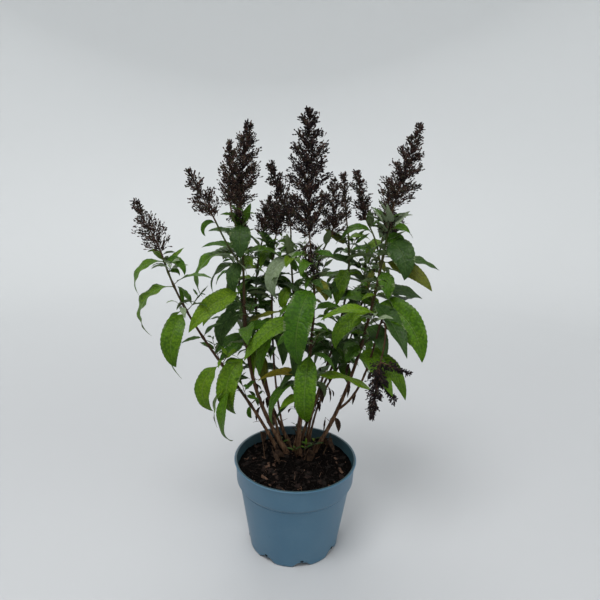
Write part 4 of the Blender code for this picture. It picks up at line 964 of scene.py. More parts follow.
class Effects:
    """Node groups that more than one finish uses, each built once."""

    def __init__(self) -> None:
        """Build every group once."""
        self.mottle = self.build_mottle()
        self.veins = self.build_veins()
        self.streaks = self.build_streaks()

    @staticmethod
    def build_mottle() -> NodeTree:
        """Soft patches: a fractal noise, stepped, gives a share and a colour between two.

        Returns:
            The group.
        """
        nodes, given, end = new_group(
            "soft_patches",
            {
                "Vector": (PLACE, None),
                "Scale": (NUMBER, 10.0),
                "Colour": (COLOUR, (0.5, 0.5, 0.5, 1.0)),
                "Patch Colour": (COLOUR, (0.2, 0.2, 0.2, 1.0)),
                "Low": (NUMBER, 0.35),
                "High": (NUMBER, 0.65),
            },
            {"Colour": COLOUR, "Share": NUMBER},
        )
        noise = nodes.add(
            "ShaderNodeTexNoise",
            inputs={"Vector": given["Vector"], "Scale": given["Scale"], "Detail": 5.0, "Roughness": 0.6},
        )
        share = nodes.ramp(noise.outputs[0], given["Low"], given["High"])
        nodes.link(nodes.mix(share, given["Colour"], given["Patch Colour"]), end, "Colour")
        nodes.link(share, end, "Share")
        return nodes.tree

    @staticmethod
    def build_veins() -> NodeTree:
        """Midrib, slanting side veins and small puckers, from the place on the blade.

        The place holds the cm along the midrib and the share across, from -1 to 1. A side vein
        stands where (along - slant times |across|^1.4) over the spacing is a whole number. The
        puckers are domes over the cells of a Voronoi pattern, and the net lies in the hollows between
        them. On the top skins the finishes darken the net and the sunken side veins as painted shade.

        Returns:
            The group.
        """
        nodes, given, end = new_group(
            "leaf_veins",
            {
                "Place": (PLACE, None),
                "Spacing": (NUMBER, 0.7),
                "Slant": (NUMBER, 0.9),
            },
            {
                "Side Veins": NUMBER,
                "Midrib": NUMBER,
                "Net": NUMBER,
                "Height": NUMBER,
            },
        )
        place = nodes.add("ShaderNodeSeparateXYZ", inputs={0: given["Place"]})
        away = nodes.math("ABSOLUTE", place.outputs[1])
        waver = {"Vector": given["Place"], "Scale": 1.3, "Detail": 1.0}
        wobble = nodes.add("ShaderNodeTexNoise", inputs=waver)
        shifted = nodes.math("ADD", place.outputs[0], nodes.times(wobble.outputs[0], 0.5))
        bent = nodes.math("POWER", away, 1.4)
        slanted = nodes.math("SUBTRACT", shifted, nodes.times(bent, given["Slant"]))
        beat = nodes.math("FRACT", nodes.math("DIVIDE", slanted, given["Spacing"]))
        from_vein = nodes.times(nodes.math("ABSOLUTE", nodes.math("SUBTRACT", beat, 0.5)), 2.0)
        fading = nodes.math("SUBTRACT", 1.0, nodes.times(away, 0.6))
        side_veins = nodes.times(nodes.ramp(from_vein, 0.8, 1.0), fading)
        midrib = nodes.math("SUBTRACT", 1.0, nodes.ramp(away, 0.01, 0.07))
        swell = nodes.math("SUBTRACT", 1.0, nodes.times(from_vein, from_vein))
        even = nodes.add(
            "ShaderNodeVectorMath", operation="MULTIPLY", inputs={0: given["Place"], 1: (1.0, 1.4, 9.0)}
        )
        cells = nodes.add("ShaderNodeTexVoronoi", inputs={"Vector": even.outputs[0], "Scale": 3.4})
        dome = nodes.math("SUBTRACT", 1.0, cells.outputs["Distance"])
        puckered = nodes.math("ADD", nodes.times(swell, 0.45), dome)
        hollow = nodes.math("SUBTRACT", puckered, nodes.times(midrib, 1.2))
        nodes.link(side_veins, end, "Side Veins")
        nodes.link(midrib, end, "Midrib")
        # Share in the hollows between the puckers; the top skins darken it as painted shade
        nodes.link(nodes.ramp(cells.outputs["Distance"], 0.3, 0.75), end, "Net")
        nodes.link(hollow, end, "Height")
        return nodes.tree

    @staticmethod
    def build_streaks() -> NodeTree:
        """Streaks that run up a stem: a noise on coordinates squeezed along Z.

        Returns:
            The group.
        """
        nodes, given, end = new_group(
            "upright_streaks",
            {
                "Vector": (PLACE, None),
                "Scale": (NUMBER, 300.0),
                "Low": (NUMBER, 0.4),
                "High": (NUMBER, 0.62),
            },
            {"Share": NUMBER, "Height": NUMBER},
        )
        squeezed = nodes.add(
            "ShaderNodeVectorMath", operation="MULTIPLY", inputs={0: given["Vector"], 1: (1.0, 1.0, 0.09)}
        )
        noise = nodes.add(
            "ShaderNodeTexNoise",
            inputs={"Vector": squeezed.outputs[0], "Scale": given["Scale"], "Detail": 6.0, "Roughness": 0.65},
        )
        nodes.link(nodes.ramp(noise.outputs[0], given["Low"], given["High"]), end, "Share")
        nodes.link(noise.outputs[0], end, "Height")
        return nodes.tree


def new_material(
    name: str, roughness: float, gloss: float = 0.5
) -> tuple[Material, Nodes, Node]:
    """A material with an empty Principled shader.

    Args:
        name: The finish's name.
        roughness: The value of the whole surface where nothing varies it.
        gloss: How strongly the surface mirrors, 0.5 being that of common plastic.

    Returns:
        The material, its nodes and its shader.
    """
    material = bpy.data.materials.new(name)
    material.use_nodes = True
    nodes = Nodes(material.node_tree)
    shader = material.node_tree.nodes["Principled BSDF"]
    shader.inputs["Roughness"].default_value = roughness
    shader.inputs["Metallic"].default_value = 0.0
    shader.inputs["Specular IOR Level"].default_value = gloss
    return material, nodes, shader


def use_group(nodes: Nodes, group: NodeTree, **inputs: object) -> Node:
    """Place a shared group in a material; an underscore in a socket's name stands for a space."""
    named = {name.replace("_", " "): value for name, value in inputs.items()}
    return nodes.add("ShaderNodeGroup", node_tree=group, inputs=named)


def add_bump(
    nodes: Nodes, shader: Node, height: NodeSocket, strength: float, metres: float
) -> None:
    """Feed a height into the shader's normal."""
    bump = nodes.add("ShaderNodeBump", inputs={"Height": height, "Strength": strength, "Distance": metres})
    nodes.link(bump.outputs[0], shader, "Normal")


@dataclass(frozen=True)
class LeafFinish:
    """Skin of a leaf: two greens that mix by leaf and by patch, sunken side veins and a pale midrib.

    On the top skins the side veins and the hollows between the puckers take a darker colour as
    painted shade; on the underside they take the veins' own paler colour.
    """

    name: str
    colour: RGB
    other: RGB
    # Darker on the top skins, as painted shade in the sunken veins and hollows; paler on the underside, the
    # veins' own colour
    vein: RGB
    midrib: RGB
    roughness: float = 0.4
    relief: float = 0.6
    gloss: float = 0.16
    spots: float = 0.72

    def build(self, effects: Effects) -> Material:
        """Lay out the finish's nodes.

        Args:
            effects: The shared groups.

        Returns:
            The material.
        """
        material, nodes, shader = new_material(self.name, self.roughness, self.gloss)
        place = nodes.add("ShaderNodeAttribute", attribute_name="place").outputs["Vector"]
        where = nodes.add("ShaderNodeTexCoord").outputs["Object"]
        seed = nodes.add("ShaderNodeSeparateXYZ", inputs={0: place}).outputs[2]
        patches = use_group(nodes, effects.mottle, Vector=where, Scale=70.0, Low=0.3, High=0.72)
        by_patch = nodes.times(patches.outputs["Share"], 0.45)
        share = nodes.math("ADD", by_patch, nodes.times(seed, 0.55))
        base = nodes.mix(share, rgba(self.colour), rgba(self.other))
        veins = use_group(nodes, effects.veins, Place=place)
        # Painted shade on the top skins: the hollows between the puckers turn toward the darker vein colour
        hollow_shaded = nodes.mix(nodes.times(veins.outputs["Net"], 0.55), base, rgba(self.vein))
        # Painted shade on the top skins: the sunken side veins turn darker; on the underside they turn paler,
        # their own colour
        lined = nodes.mix(nodes.times(veins.outputs["Side Veins"], 0.42), hollow_shaded, rgba(self.vein))
        ribbed = nodes.mix(nodes.times(veins.outputs["Midrib"], 0.45), lined, rgba(self.midrib))
        spots = {"Low": self.spots, "High": self.spots + 0.05}
        dry = use_group(nodes, effects.mottle, Vector=where, Scale=260.0, **spots)
        final = nodes.mix(nodes.times(dry.outputs["Share"], 0.7), ribbed, rgba(DRY_SPOT))
        nodes.link(final, shader, "Base Color")
        rough = nodes.math("ADD", self.roughness, nodes.times(patches.outputs["Share"], 0.14))
        nodes.link(rough, shader, "Roughness")
        add_bump(nodes, shader, veins.outputs["Height"], self.relief, 0.0009)
        return material


@dataclass(frozen=True)
class WoodFinish:
    """Bark: two browns in upright streaks, with grey-green bloom where it is young."""

    name: str
    colour: RGB
    streak: RGB
    young: RGB
    young_from: float
    young_to: float
    roughness: float = 0.75
    gloss: float = 0.1

    def build(self, effects: Effects) -> Material:
        """Lay out the finish's nodes.

        Args:
            effects: The shared groups.

        Returns:
            The material.
        """
        material, nodes, shader = new_material(self.name, self.roughness, self.gloss)
        where = nodes.add("ShaderNodeTexCoord").outputs["Object"]
        streaks = use_group(nodes, effects.streaks, Vector=where, Scale=420.0)
        bark = nodes.mix(streaks.outputs["Share"], rgba(self.colour), rgba(self.streak))
        height = nodes.add("ShaderNodeSeparateXYZ", inputs={0: where}).outputs[2]
        patches = use_group(nodes, effects.mottle, Vector=where, Scale=60.0, Low=0.3, High=0.7)
        ripe = nodes.math("ADD", height, nodes.times(patches.outputs["Share"], 0.05))
        bark = nodes.mix(nodes.ramp(ripe, self.young_from, self.young_to), bark, rgba(self.young))
        nodes.link(bark, shader, "Base Color")
        rough = nodes.math("ADD", self.roughness - 0.1, nodes.times(streaks.outputs["Share"], 0.2))
        nodes.link(rough, shader, "Roughness")
        add_bump(nodes, shader, streaks.outputs["Height"], 0.5, 0.0006)
        return material


@dataclass(frozen=True)
class DryFinish:
    """Dry plant matter or soil: one colour with patches of another and a grainy surface."""

    name: str
    colour: RGB
    patch: RGB
    scale: float = 400.0
    roughness: float = 0.85
    relief: float = 0.5
    gloss: float = 0.1

    def build(self, effects: Effects) -> Material:
        """Lay out the finish's nodes.

        Args:
            effects: The shared groups.

        Returns:
            The material.
        """
        material, nodes, shader = new_material(self.name, self.roughness, self.gloss)
        where = nodes.add("ShaderNodeTexCoord").outputs["Object"]
        patches = use_group(
            nodes, effects.mottle, Vector=where, Scale=self.scale, Colour=rgba(self.colour),
            Patch_Colour=rgba(self.patch), Low=0.38, High=0.66,
        )
        nodes.link(patches.outputs["Colour"], shader, "Base Color")
        rough = nodes.math("SUBTRACT", self.roughness, nodes.times(patches.outputs["Share"], 0.15))
        nodes.link(rough, shader, "Roughness")
        add_bump(nodes, shader, patches.outputs["Share"], self.relief, 0.0005)
        return material


@dataclass(frozen=True)
class PlasticFinish:
    """Thin formed plastic: a plain colour, faint draw lines, a little dust and splashed soil."""

    name: str
    colour: RGB
    faded: RGB
    dirt: RGB
    roughness: float = 0.42

    def build(self, effects: Effects) -> Material:
        """Lay out the finish's nodes.

        Args:
            effects: The shared groups.

        Returns:
            The material.
        """
        material, nodes, shader = new_material(self.name, self.roughness)
        where = nodes.add("ShaderNodeTexCoord").outputs["Object"]
        haze = use_group(
            nodes, effects.mottle, Vector=where, Scale=14.0, Colour=rgba(self.colour),
            Patch_Colour=rgba(self.faded), Low=0.3, High=0.75,
        )
        specks = use_group(nodes, effects.mottle, Vector=where, Scale=330.0, Low=0.69, High=0.74)
        spotted = nodes.times(specks.outputs["Share"], 0.6)
        colour = nodes.mix(spotted, haze.outputs["Colour"], rgba(self.dirt))
        nodes.link(colour, shader, "Base Color")
        lines = use_group(nodes, effects.streaks, Vector=where, Scale=45.0, Low=0.3, High=0.7)
        rough = nodes.math("ADD", self.roughness - 0.05, nodes.times(haze.outputs["Share"], 0.12))
        rough = nodes.math("ADD", rough, nodes.times(specks.outputs["Share"], 0.3))
        nodes.link(rough, shader, "Roughness")
        add_bump(nodes, shader, lines.outputs["Height"], 0.12, 0.0008)
        return material


# The leaf finishes in the order of the tints, and the underside last
LEAF_SKINS = (
    LeafFinish(
        "leaf_green", (0.026, 0.086, 0.002), (0.062, 0.132, 0.003), (0.01, 0.034, 0.002), (0.1, 0.17, 0.03)
    ),
    LeafFinish(
        "leaf_bright", (0.075, 0.156, 0.002), (0.122, 0.198, 0.003), (0.026, 0.068, 0.002), (0.16, 0.22, 0.05)
    ),
    LeafFinish(
        "leaf_dark", (0.02, 0.05, 0.007), (0.04, 0.082, 0.013), (0.01, 0.028, 0.005), (0.07, 0.11, 0.03)
    ),
    LeafFinish(
        "leaf_olive", (0.07, 0.095, 0.006), (0.12, 0.125, 0.008), (0.045, 0.05, 0.006), (0.15, 0.15, 0.03)
    ),
    LeafFinish(
        "leaf_young", (0.17, 0.225, 0.12), (0.25, 0.3, 0.2), (0.11, 0.15, 0.07), (0.28, 0.33, 0.23),
        roughness=0.65,
    ),
    LeafFinish(
        "leaf_yellow", (0.2, 0.18, 0.01), (0.26, 0.19, 0.012), (0.11, 0.11, 0.01), (0.28, 0.22, 0.04)
    ),
    DryFinish("leaf_withered", (0.017, 0.01, 0.007), (0.04, 0.023, 0.013), 260.0),
    LeafFinish(
        "leaf_fresh", (0.046, 0.12, 0.002), (0.09, 0.168, 0.003), (0.015, 0.045, 0.002), (0.12, 0.19, 0.04)
    ),
    LeafFinish(
        "leaf_underside", (0.075, 0.115, 0.035), (0.11, 0.145, 0.06), (0.13, 0.16, 0.08), (0.15, 0.18, 0.09),
        roughness=0.7, relief=0.3, gloss=0.2, spots=0.8,
    ),
)

CANE_BARK = WoodFinish(
    "cane_bark", (0.045, 0.021, 0.011), (0.16, 0.095, 0.055), (0.06, 0.028, 0.013),
    young_from=0.2, young_to=0.33,
)
SHOOT_BARK = WoodFinish(
    "shoot_bark", (0.038, 0.02, 0.012), (0.06, 0.034, 0.018), (0.055, 0.065, 0.02),
    young_from=0.36, young_to=0.46,
)
SEED_STALK = DryFinish("seed_stalk", (0.05, 0.03, 0.018), (0.1, 0.06, 0.035), 500.0)
SOIL_PEAT = DryFinish(
    "soil_peat", (0.0015, 0.0013, 0.0012), (0.0055, 0.0042, 0.0036), 350.0,
    roughness=0.95, relief=0.9, gloss=0.02,
)

# From the darkest pod to the palest, the pot from inside, whose darker colour is painted shade, to the
# painted shade of its drain holes, and the chips
POD_SKINS = (
    DryFinish("pod_dark", (0.01, 0.007, 0.008), (0.022, 0.015, 0.016), 700.0, 0.7),
    DryFinish("pod_brown", (0.036, 0.017, 0.014), (0.066, 0.034, 0.027), 700.0, 0.75),
    DryFinish("pod_olive", (0.022, 0.023, 0.013), (0.045, 0.042, 0.022), 700.0, 0.75),
    DryFinish("pod_pale", (0.08, 0.055, 0.045), (0.13, 0.09, 0.072), 700.0, 0.75),
)
POT_SKINS = (
    # The same plastic as the outside: its darker colour is painted shade inside the pot
    PlasticFinish(
        "pot_inside", (0.02, 0.055, 0.07), (0.03, 0.065, 0.08), (0.01, 0.008, 0.006)
    ),
    PlasticFinish(
        "pot_outside", (0.044, 0.122, 0.196), (0.064, 0.148, 0.22), (0.035, 0.035, 0.032)
    ),
    # Painted shade: a near-black finish for the dish that stands in for the shade inside each drain hole
    DryFinish("pot_hole", (0.006, 0.008, 0.01), (0.012, 0.014, 0.016)),
)
CHIP_SKINS = (
    DryFinish("chip_tan", (0.06, 0.032, 0.021), (0.13, 0.078, 0.053), 250.0),
    DryFinish("chip_brown", (0.01, 0.006, 0.005), (0.024, 0.014, 0.01), 250.0),
    DryFinish("chip_dark", (0.004, 0.003, 0.0025), (0.009, 0.006, 0.0045), 250.0),
)


@dataclass
class Palette:
    """Every finish of the plant, its pot and its soil, each laid out once."""

    effects: Effects
    ready: dict[str, Material] = field(default_factory=dict)

    def built(self, *finishes: LeafFinish | WoodFinish | DryFinish | PlasticFinish) -> list[Material]:
        """The materials of some finishes.

        Args:
            finishes: The finishes; each is laid out when it is first asked for.

        Returns:
            Their materials, in the same order.
        """
        for finish in finishes:
            if finish.name not in self.ready:
                self.ready[finish.name] = finish.build(self.effects)
        return [self.ready[finish.name] for finish in finishes]


@dataclass
class Pot:
    """The round pot: lip, straight band, chamfered crease, tapering wall and notched foot, in cm."""

    rim_radius: float = 8.5
    height: float = 12.9
    base_radius: float = 6.3
    wall: float = 0.14
    floor: float = 0.75
    lip: float = 0.25
    band_foot: Pair = (8.12, 9.9)
    crease: Pair = (7.72, 9.3)
    step: float = 0.05
    notches: int = 8
    notch_height: float = 0.6
    notch_share: float = 0.46
    sides: int = 240
    hole_radius: float = 0.22
    hole_height: float = 0.95
    hole_sides: int = 20
    under_edge: float = 4.95
    notch_fade: float = 1.1

    def profile(self) -> Array:
        """Radius and height of the wall, from the middle of the floor up, over the lip and down.

        Returns:
            One row of radius, height and a mark that is 0 inside and 1 outside.
        """
        rim, base, top, lip, wall = self.rim_radius, self.base_radius, self.height, self.lip, self.wall
        (band, band_at), (crease, crease_at) = self.band_foot, self.crease
        inside = [
            (base - 0.7, self.floor), (base - 0.26, self.floor + 0.2),
            (crease - wall, crease_at), (band - wall, band_at),
            (rim - lip - wall, top - 0.12),
            (rim - lip - 0.08, top - 0.01),
        ]
        outside = [
            (rim - 0.1, top), (rim - 0.02, top - 0.04),
            (rim, top - 0.1), (rim - 0.03, top - 0.17),
            (rim - lip + 0.06, top - 0.22),
            (rim - lip + 0.02, top - 0.34),
            (band + 0.04, band_at + 0.12), self.band_foot,
            (band - 0.08, band_at - 0.14),
            (crease + 0.06, crease_at + 0.14), (crease + 0.02, crease_at + 0.1),
            (crease - self.step, crease_at + 0.06),
            (crease - self.step, crease_at - 0.04),
            (crease - 0.02, crease_at - 0.1),
        ]
        taper = [
            (self.wall_radius(share), 0.7 + (crease_at - 0.9) * share)
            for share in np.linspace(1.0, 0.0, 24)
        ]
        foot = [
            (base + 0.08, 0.4), (base + 0.04, 0.12),
            (base - 0.04, 0.02), (base - 0.16, 0.0),
            (5.1, 0.0), (4.9, 0.0), (2.5, 0.0),
        ]
        rows = [(r, h, 0.0) for r, h in inside] + [(r, h, 1.0) for r, h in outside + taper + foot]
        return np.array(rows)

    def wall_radius(self, share: float) -> float:
        """Radius of the wall's outside at a share of the way from its foot to the crease."""
        return self.base_radius + 0.1 + (self.crease[0] - 0.14 - self.base_radius) * share

    def build(self, palette: Palette) -> list[Object]:
        """Turn the profile round Z and press the notches into the foot.

        A point at angle a and profile height h stands at (r cos a, r sin a, h). In a notch the foot is
        lifted by the notch height times a smooth bump of the angle, fading out above the foot.

        Args:
            palette: The finishes.

        Returns:
            The pot in a list; it stands for its solid.
        """
        rows = self.profile()
        angle = angles(self.sides)
        radius, height = rows[:, 0:1], rows[:, 1:2]
        phase = (angle * self.notches / (2 * pi)) % 1.0
        centre = self.notch_share / 2
        bump = np.clip(1.45 - np.abs(phase - centre) / (self.notch_share * 0.42), 0.0, 1.0)
        bump = bump * bump * (3 - 2 * bump)
        outer = (rows[:, 2:3] == 1.0) & (radius > self.under_edge)
        fade = np.clip(1.0 - height / self.notch_fade, 0.0, 1.0) * outer
        lifted = height + self.notch_height * bump * fade
        points = np.stack([radius * np.cos(angle), radius * np.sin(angle), lifted], axis=-1)
        points = np.concatenate([points.reshape(-1, 3), [[0.0, 0.0, self.floor], [0.0, 0.0, 0.0]]])
        # Faces between two outside rows take the outside finish, all others the inside one, whose darker
        # colour is painted shade
        band = np.repeat(rows[:-1, 2] * rows[1:, 2], self.sides).astype(int)
        batch = Batch("pot_shell", palette.built(*POT_SKINS), 35.0)
        batch.add(points, np.zeros_like(points), *tube_faces(len(rows), self.sides, turned=True), band)
        self.add_holes(batch)
        piece = batch.make("pot_plastic")
        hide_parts("pot")
        return [piece]

    def add_holes(self, batch: Batch) -> None:
        """Small round drain holes low on the wall, as painted shade: a dark, shallow dish over each notch.

        Each ring stands at its own distance from the pot's axis, and its points are the radius times
        (cos a along the wall + 0.8 sin a up), so that the mark is a little wider than high.

        Args:
            batch: The pot's surfaces.
        """
        turn = angles(self.hole_sides)[:, None]
        up = np.array([0.0, 0.0, 1.0])
        wall = self.wall_radius((self.hole_height - 0.7) / (self.crease[1] - 0.9))
        for number in range(self.notches):
            bearing = 2 * pi * (number + self.notch_share / 2) / self.notches
            out = np.array([cos(bearing), sin(bearing), 0.0])
            side = np.array([-sin(bearing), cos(bearing), 0.0])
            circle = self.hole_radius * (np.cos(turn) * side + np.sin(turn) * up * 0.8)
            rings = [
                up * self.hole_height + out * (wall + proud) + circle * share
                for share, proud in ((1.0, -0.05), (1.0, 0.012), (0.9, 0.016), (0.6, 0.012))
            ]
            poles = [up * self.hole_height + out * (wall + proud) for proud in (-0.05, 0.012)]
            points = np.concatenate([*rings, poles])
            # Finish 2 is the painted shade of the hole
            batch.add(points, np.zeros_like(points), *tube_faces(len(rings), self.hole_sides), 2)


@dataclass
class Canes:
    """The bare lower stems, with bark ridges, swollen joints and flared feet, in cm."""

    stems: list[Stem]
    sides: int = 22
    pitch: float = 0.14
    joint_pitch: float = 3.4
    joint_swell: float = 0.2
    joint_reach: float = 0.22
    ridge: float = 0.055
    ridge_waves: tuple[int, ...] = (2, 3, 5, 7, 9)
    sink: float = 0.25
    sink_reach: float = 0.8

    def build(self, palette: Palette) -> list[Object]:
        """Grow every bare stem as one surface.

        Args:
            palette: The finishes.

        Returns:
            The canes in a list; they stand for the solids of the stems and the bough.
        """
        batch = Batch("canes", palette.built(CANE_BARK))
        for stem in self.stems:
            batch.add(*self.cane(stem))
        piece = batch.make("stem_bark")
        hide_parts(*(stem.limb_node for stem in self.stems))
        return [piece]

    def cane(self, stem: Stem) -> Surface:
        """One cane: its radius follows the taper, with a swelling at each joint and ridges of bark.

        The ridges are a sum of waves round the cane whose phase drifts along it.

        Args:
            stem: The stem.

        Returns:
            Points, places, quads and triangles.
        """
        draw = Random(stem.name + "_bark")
        length = stem.bare * np.linalg.norm(np.array(stem.tip) - np.array(stem.foot))
        rings = int(length / self.pitch)
        shares = np.linspace(0.004 if stem.parent else 0.0, stem.bare + 0.002, rings)
        along = shares / stem.bare * length
        angle = angles(self.sides)
        relief = np.zeros((rings, self.sides))
        for waves in self.ridge_waves:
            drift = draw.uniform(0.5, 2.4) * np.sin(along * draw.uniform(0.5, 1.6) + draw.uniform(0, 6))
            swell = 0.6 + 0.4 * np.sin(along * draw.uniform(1.5, 4.0) + draw.uniform(0, 6))
            relief += swell[:, None] * np.sin(waves * angle[None] + drift[:, None]) / waves**0.5
        from_joint = (along + draw.uniform(0, self.joint_pitch)) % self.joint_pitch - self.joint_pitch / 2
        joint = self.joint_swell * np.exp(-((from_joint / self.joint_reach) ** 2))
        radii = stem_radius(stem, shares)[:, None] * (1 + joint[:, None] + self.ridge * relief)
        points, places, quads, triangles = limb_surface(stem.ends, shares, radii, draw.random())
        if not stem.parent:
            low = np.repeat(np.clip(1 - along / self.sink_reach, 0.0, 1.0), self.sides)
            points[: len(low), 2] -= low * self.sink
            points[-2, 2] -= self.sink
        return points, places, quads, triangles


@dataclass
class Shoots:
    """The leafy upper stems and their side twigs, four-cornered and swollen where leaves sit, in cm."""

    stems: list[Stem]
    sides: int = 12
    pitch: float = 0.3
    squareness: float = 0.09
    joint_reach: float = 0.3
    joint_swell: float = 0.35

    def build(self, palette: Palette) -> list[Object]:
        """Grow every shoot and side twig as one surface.

        Args:
            palette: The finishes.

        Returns:
            The shoots in a list; with the leaves they stand for the solids of the shoots.
        """
        batch = Batch("shoots", palette.built(SHOOT_BARK))
        for stem in self.stems:
            batch.add(*self.shoot(stem))
            for twig in stem.twigs:
                batch.add(*self.side_twig(stem, twig))
        piece = batch.make("stem_bark")
        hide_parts(*(stem.shoot_node for stem in self.stems))
        return [piece]

    def square(self, radii: Array) -> Array:
        """Radii round the stem, larger at four corners."""
        angle = angles(self.sides)
        return radii[:, None] * (1 + self.squareness * np.cos(4 * angle)[None])

    def shoot(self, stem: Stem) -> Surface:
        """One shoot, from the end of its cane to its tip.

        Args:
            stem: The stem whose taper it carries on.

        Returns:
            Points, places, quads and triangles.
        """
        length = (1 - stem.bare) * np.linalg.norm(np.array(stem.tip) - np.array(stem.foot))
        shares = np.linspace(stem.bare, 1.0, max(int(length / self.pitch), 12))
        joints = np.array([leaf.at for leaf in stem.leaves + grown_leaves(stem)[0]])
        reach = self.joint_reach * (1 - stem.bare) / length
        near = np.min(np.abs(shares[:, None] - joints[None]), axis=1) / reach
        radii = stem_radius(stem, shares) * (1 + self.joint_swell * np.exp(-(near**2)))
        return limb_surface(stem.ends, shares, self.square(radii), 0.5)

    def side_twig(self, stem: Stem, twig: Twig) -> Surface:
        """One side twig, from the axis of its stem to its tip.

        Args:
            stem: The stem that carries it.
            twig: The twig.

        Returns:
            Points, places, quads and triangles.
        """
        shares = np.linspace(0.0, 1.0, 26)
        radii = TWIG_RADIUS * (1.15 - 0.3 * shares)
        return limb_surface(twig_ends(stem, twig), shares, self.square(radii), 0.5)


@dataclass
class Foliage:
    """Every leaf of the plant: folded, veined, finely toothed blades on short stalks, in cm."""

    stems: list[Stem]
    thickness: float = 0.022
    fold: float = 0.38
    petiole_share: float = 0.09
    petiole_radius: float = 0.06
    tooth_depth: float = 0.05
    row_pitch: float = 0.24
    row_limits: tuple[int, int] = (7, 44)
    big_leaf: float = 4.5
    heading_drift: float = 12
    roll_drift: float = 14
    fold_spread: Pair = (0.3, 1.5)
    ripple: Pair = (0.03, 0.085)
    ripple_waves: Pair = (2.0, 4.5)
    arch: Pair = (0.0, 0.3)
    side_shoot_reach: Pair = (0.5, 1.5)
    side_shoot: TwigShape = TwigShape(rings=7, sides=6, thick=0.06, loss=0.025)
    side_leaves: LeafHabit = LeafHabit(rise=(5, 55), droop=(0, 95), breadth=(0.24, 0.34), roll=45)
    middle_length: Pair = (3.2, 6.2)
    middle_pitch: Pair = (0.05, 0.085)
    middle_habit: LeafHabit = LeafHabit(rise=(5, 50), droop=(40, 120), breadth=(0.2, 0.29), roll=40)
    tuft_places: Pair = (0.9, 0.985)
    tuft_habit: LeafHabit = LeafHabit(rise=(25, 70), droop=(-10, 50), breadth=(0.2, 0.32), roll=40)

    def build(self, palette: Palette) -> list[Object]:
        """Grow the large leaves, the young ones and their twigs as three pieces.

        Args:
            palette: The finishes.

        Returns:
            The pieces, which stand for the solids of the shoots.
        """
        skins = palette.built(*LEAF_SKINS)
        large = Batch("leaves", skins, 70.0)
        young = Batch("young_leaves", skins, 70.0)
        twigs = Batch("axil_twigs", palette.built(SHOOT_BARK))
        for stem in self.stems:
            draw = Random(stem.name + "_blades")
            by_rule, small = grown_leaves(stem)
            for leaf in stem.leaves:
                self.add_leaf(large, stem.ends, leaf, draw)
            for leaf in by_rule:
                self.add_leaf(large, stem.ends, replace(leaf, tint=self.dealt_tint(draw)), draw)
            for leaf in self.middle_leaves(stem, draw):
                self.add_leaf(large, stem.ends, leaf, draw)
            for leaf in self.tuft_leaves(stem, draw):
                self.add_leaf(young, stem.ends, leaf, draw)
            for leaf in small:
                self.add_side_shoot(young, twigs, stem.ends, leaf, draw)
            for twig in stem.twigs:
                for leaf in twig.leaves:
                    self.add_leaf(large, twig_ends(stem, twig), leaf, draw)
        pieces = [large.make("leaf_green"), young.make("leaf_green"), twigs.make("stem_bark")]
        for piece in pieces:
            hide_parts(*(stem.shoot_node for stem in self.stems))
        return pieces

    def middle_leaves(self, stem: Stem, draw: Random) -> list[Leaf]:
        """Narrow leaves of middle length in crossed pairs, between the large ones.

        Args:
            stem: The stem; an open one has none.
            draw: Source of the small differences.

        Returns:
            The leaves, from the lowest up.
        """
        found = []
        if stem.name in OPEN_STEMS:
            return found
        at = stem.bare + 0.06
        turn = stem.pair_turn + 45
        while at < PAIR_TOP:
            for half in (0, 180):
                long = draw.uniform(*self.middle_length) * (PAIR_FOOT_GROWTH - PAIR_TIP_LOSS * at)
                leaf = self.middle_habit.leaf(draw, at, turn + half + draw.uniform(-20, 20), long)
                found.append(replace(leaf, tint=self.dealt_tint(draw)))
            at += draw.uniform(*self.middle_pitch)
            turn += 90
        return found

    def tuft_leaves(self, stem: Stem, draw: Random) -> list[Leaf]:
        """Upright young leaves close under a seed head, pale with down.

        Args:
            stem: The stem; most have none.
            draw: Source of the small differences.

        Returns:
            The leaves.
        """
        number, longest = HEAD_TUFTS.get(stem.name, (0, 0.0))
        found = []
        for _ in range(number):
            long = longest * draw.uniform(0.5, 1.0)
            leaf = self.tuft_habit.leaf(draw, draw.uniform(*self.tuft_places), draw.uniform(0, 360), long)
            found.append(replace(leaf, tint=draw.choice((Tint.YOUNG, Tint.YOUNG, Tint.GREEN))))
        return found

    @staticmethod
    def dealt_tint(draw: Random) -> Tint:
        """A leaf colour dealt out by chance, mostly green."""
        tints = (Tint.GREEN, Tint.FRESH, Tint.BRIGHT, Tint.DARK, Tint.OLIVE)
        return draw.choices(tints, (7, 4, 3, 7, 1))[0]

    def add_side_shoot(
        self, young: Batch, twigs: Batch, ends: tuple, leaf: Leaf, draw: Random
    ) -> None:
        """A short side shoot in the axil of a leaf, with crossed pairs of young leaves.

        Args:
            young: Where the leaves go.
            twigs: Where the shoot's own twig goes.
            ends: Curve of the stem.
            leaf: The axil leaf of the solid, whose direction and length the shoot takes.
            draw: Source of the small differences.
        """
        tint = draw.choices((Tint.GREEN, Tint.YOUNG, Tint.BRIGHT, Tint.DARK), (4, 2, 2, 3))[0]
        reach = leaf.long * draw.uniform(*self.side_shoot_reach)
        heading, rise = radians(leaf.toward), radians(leaf.rise)
        level = np.array([cos(heading), sin(heading), 0.0])
        outward = cos(rise) * level + sin(rise) * np.array([0.0, 0.0, 1.0])
        start = bezier(ends, leaf.at)
        tip = start + outward * reach + np.array([0.0, 0.0, reach * 0.25])
        curve = arc(start, start + outward * reach * 0.5, tip)
        twigs.add(*self.side_shoot.grow(curve, 0.5))
        pairs = 2 + int(reach > 1.5) + int(reach > 2.6)
        for i in range(pairs):
            for half in (0, 180):
                long = leaf.long * (1.15 - 0.22 * i) * draw.uniform(0.65, 1.15)
                toward = leaf.toward + 90 * (i + 1) + half + draw.uniform(-28, 28)
                blade = self.side_leaves.leaf(draw, 0.25 + 0.75 * (i + 1) / pairs, toward, long)
                self.add_leaf(young, curve, replace(blade, tint=tint), draw)

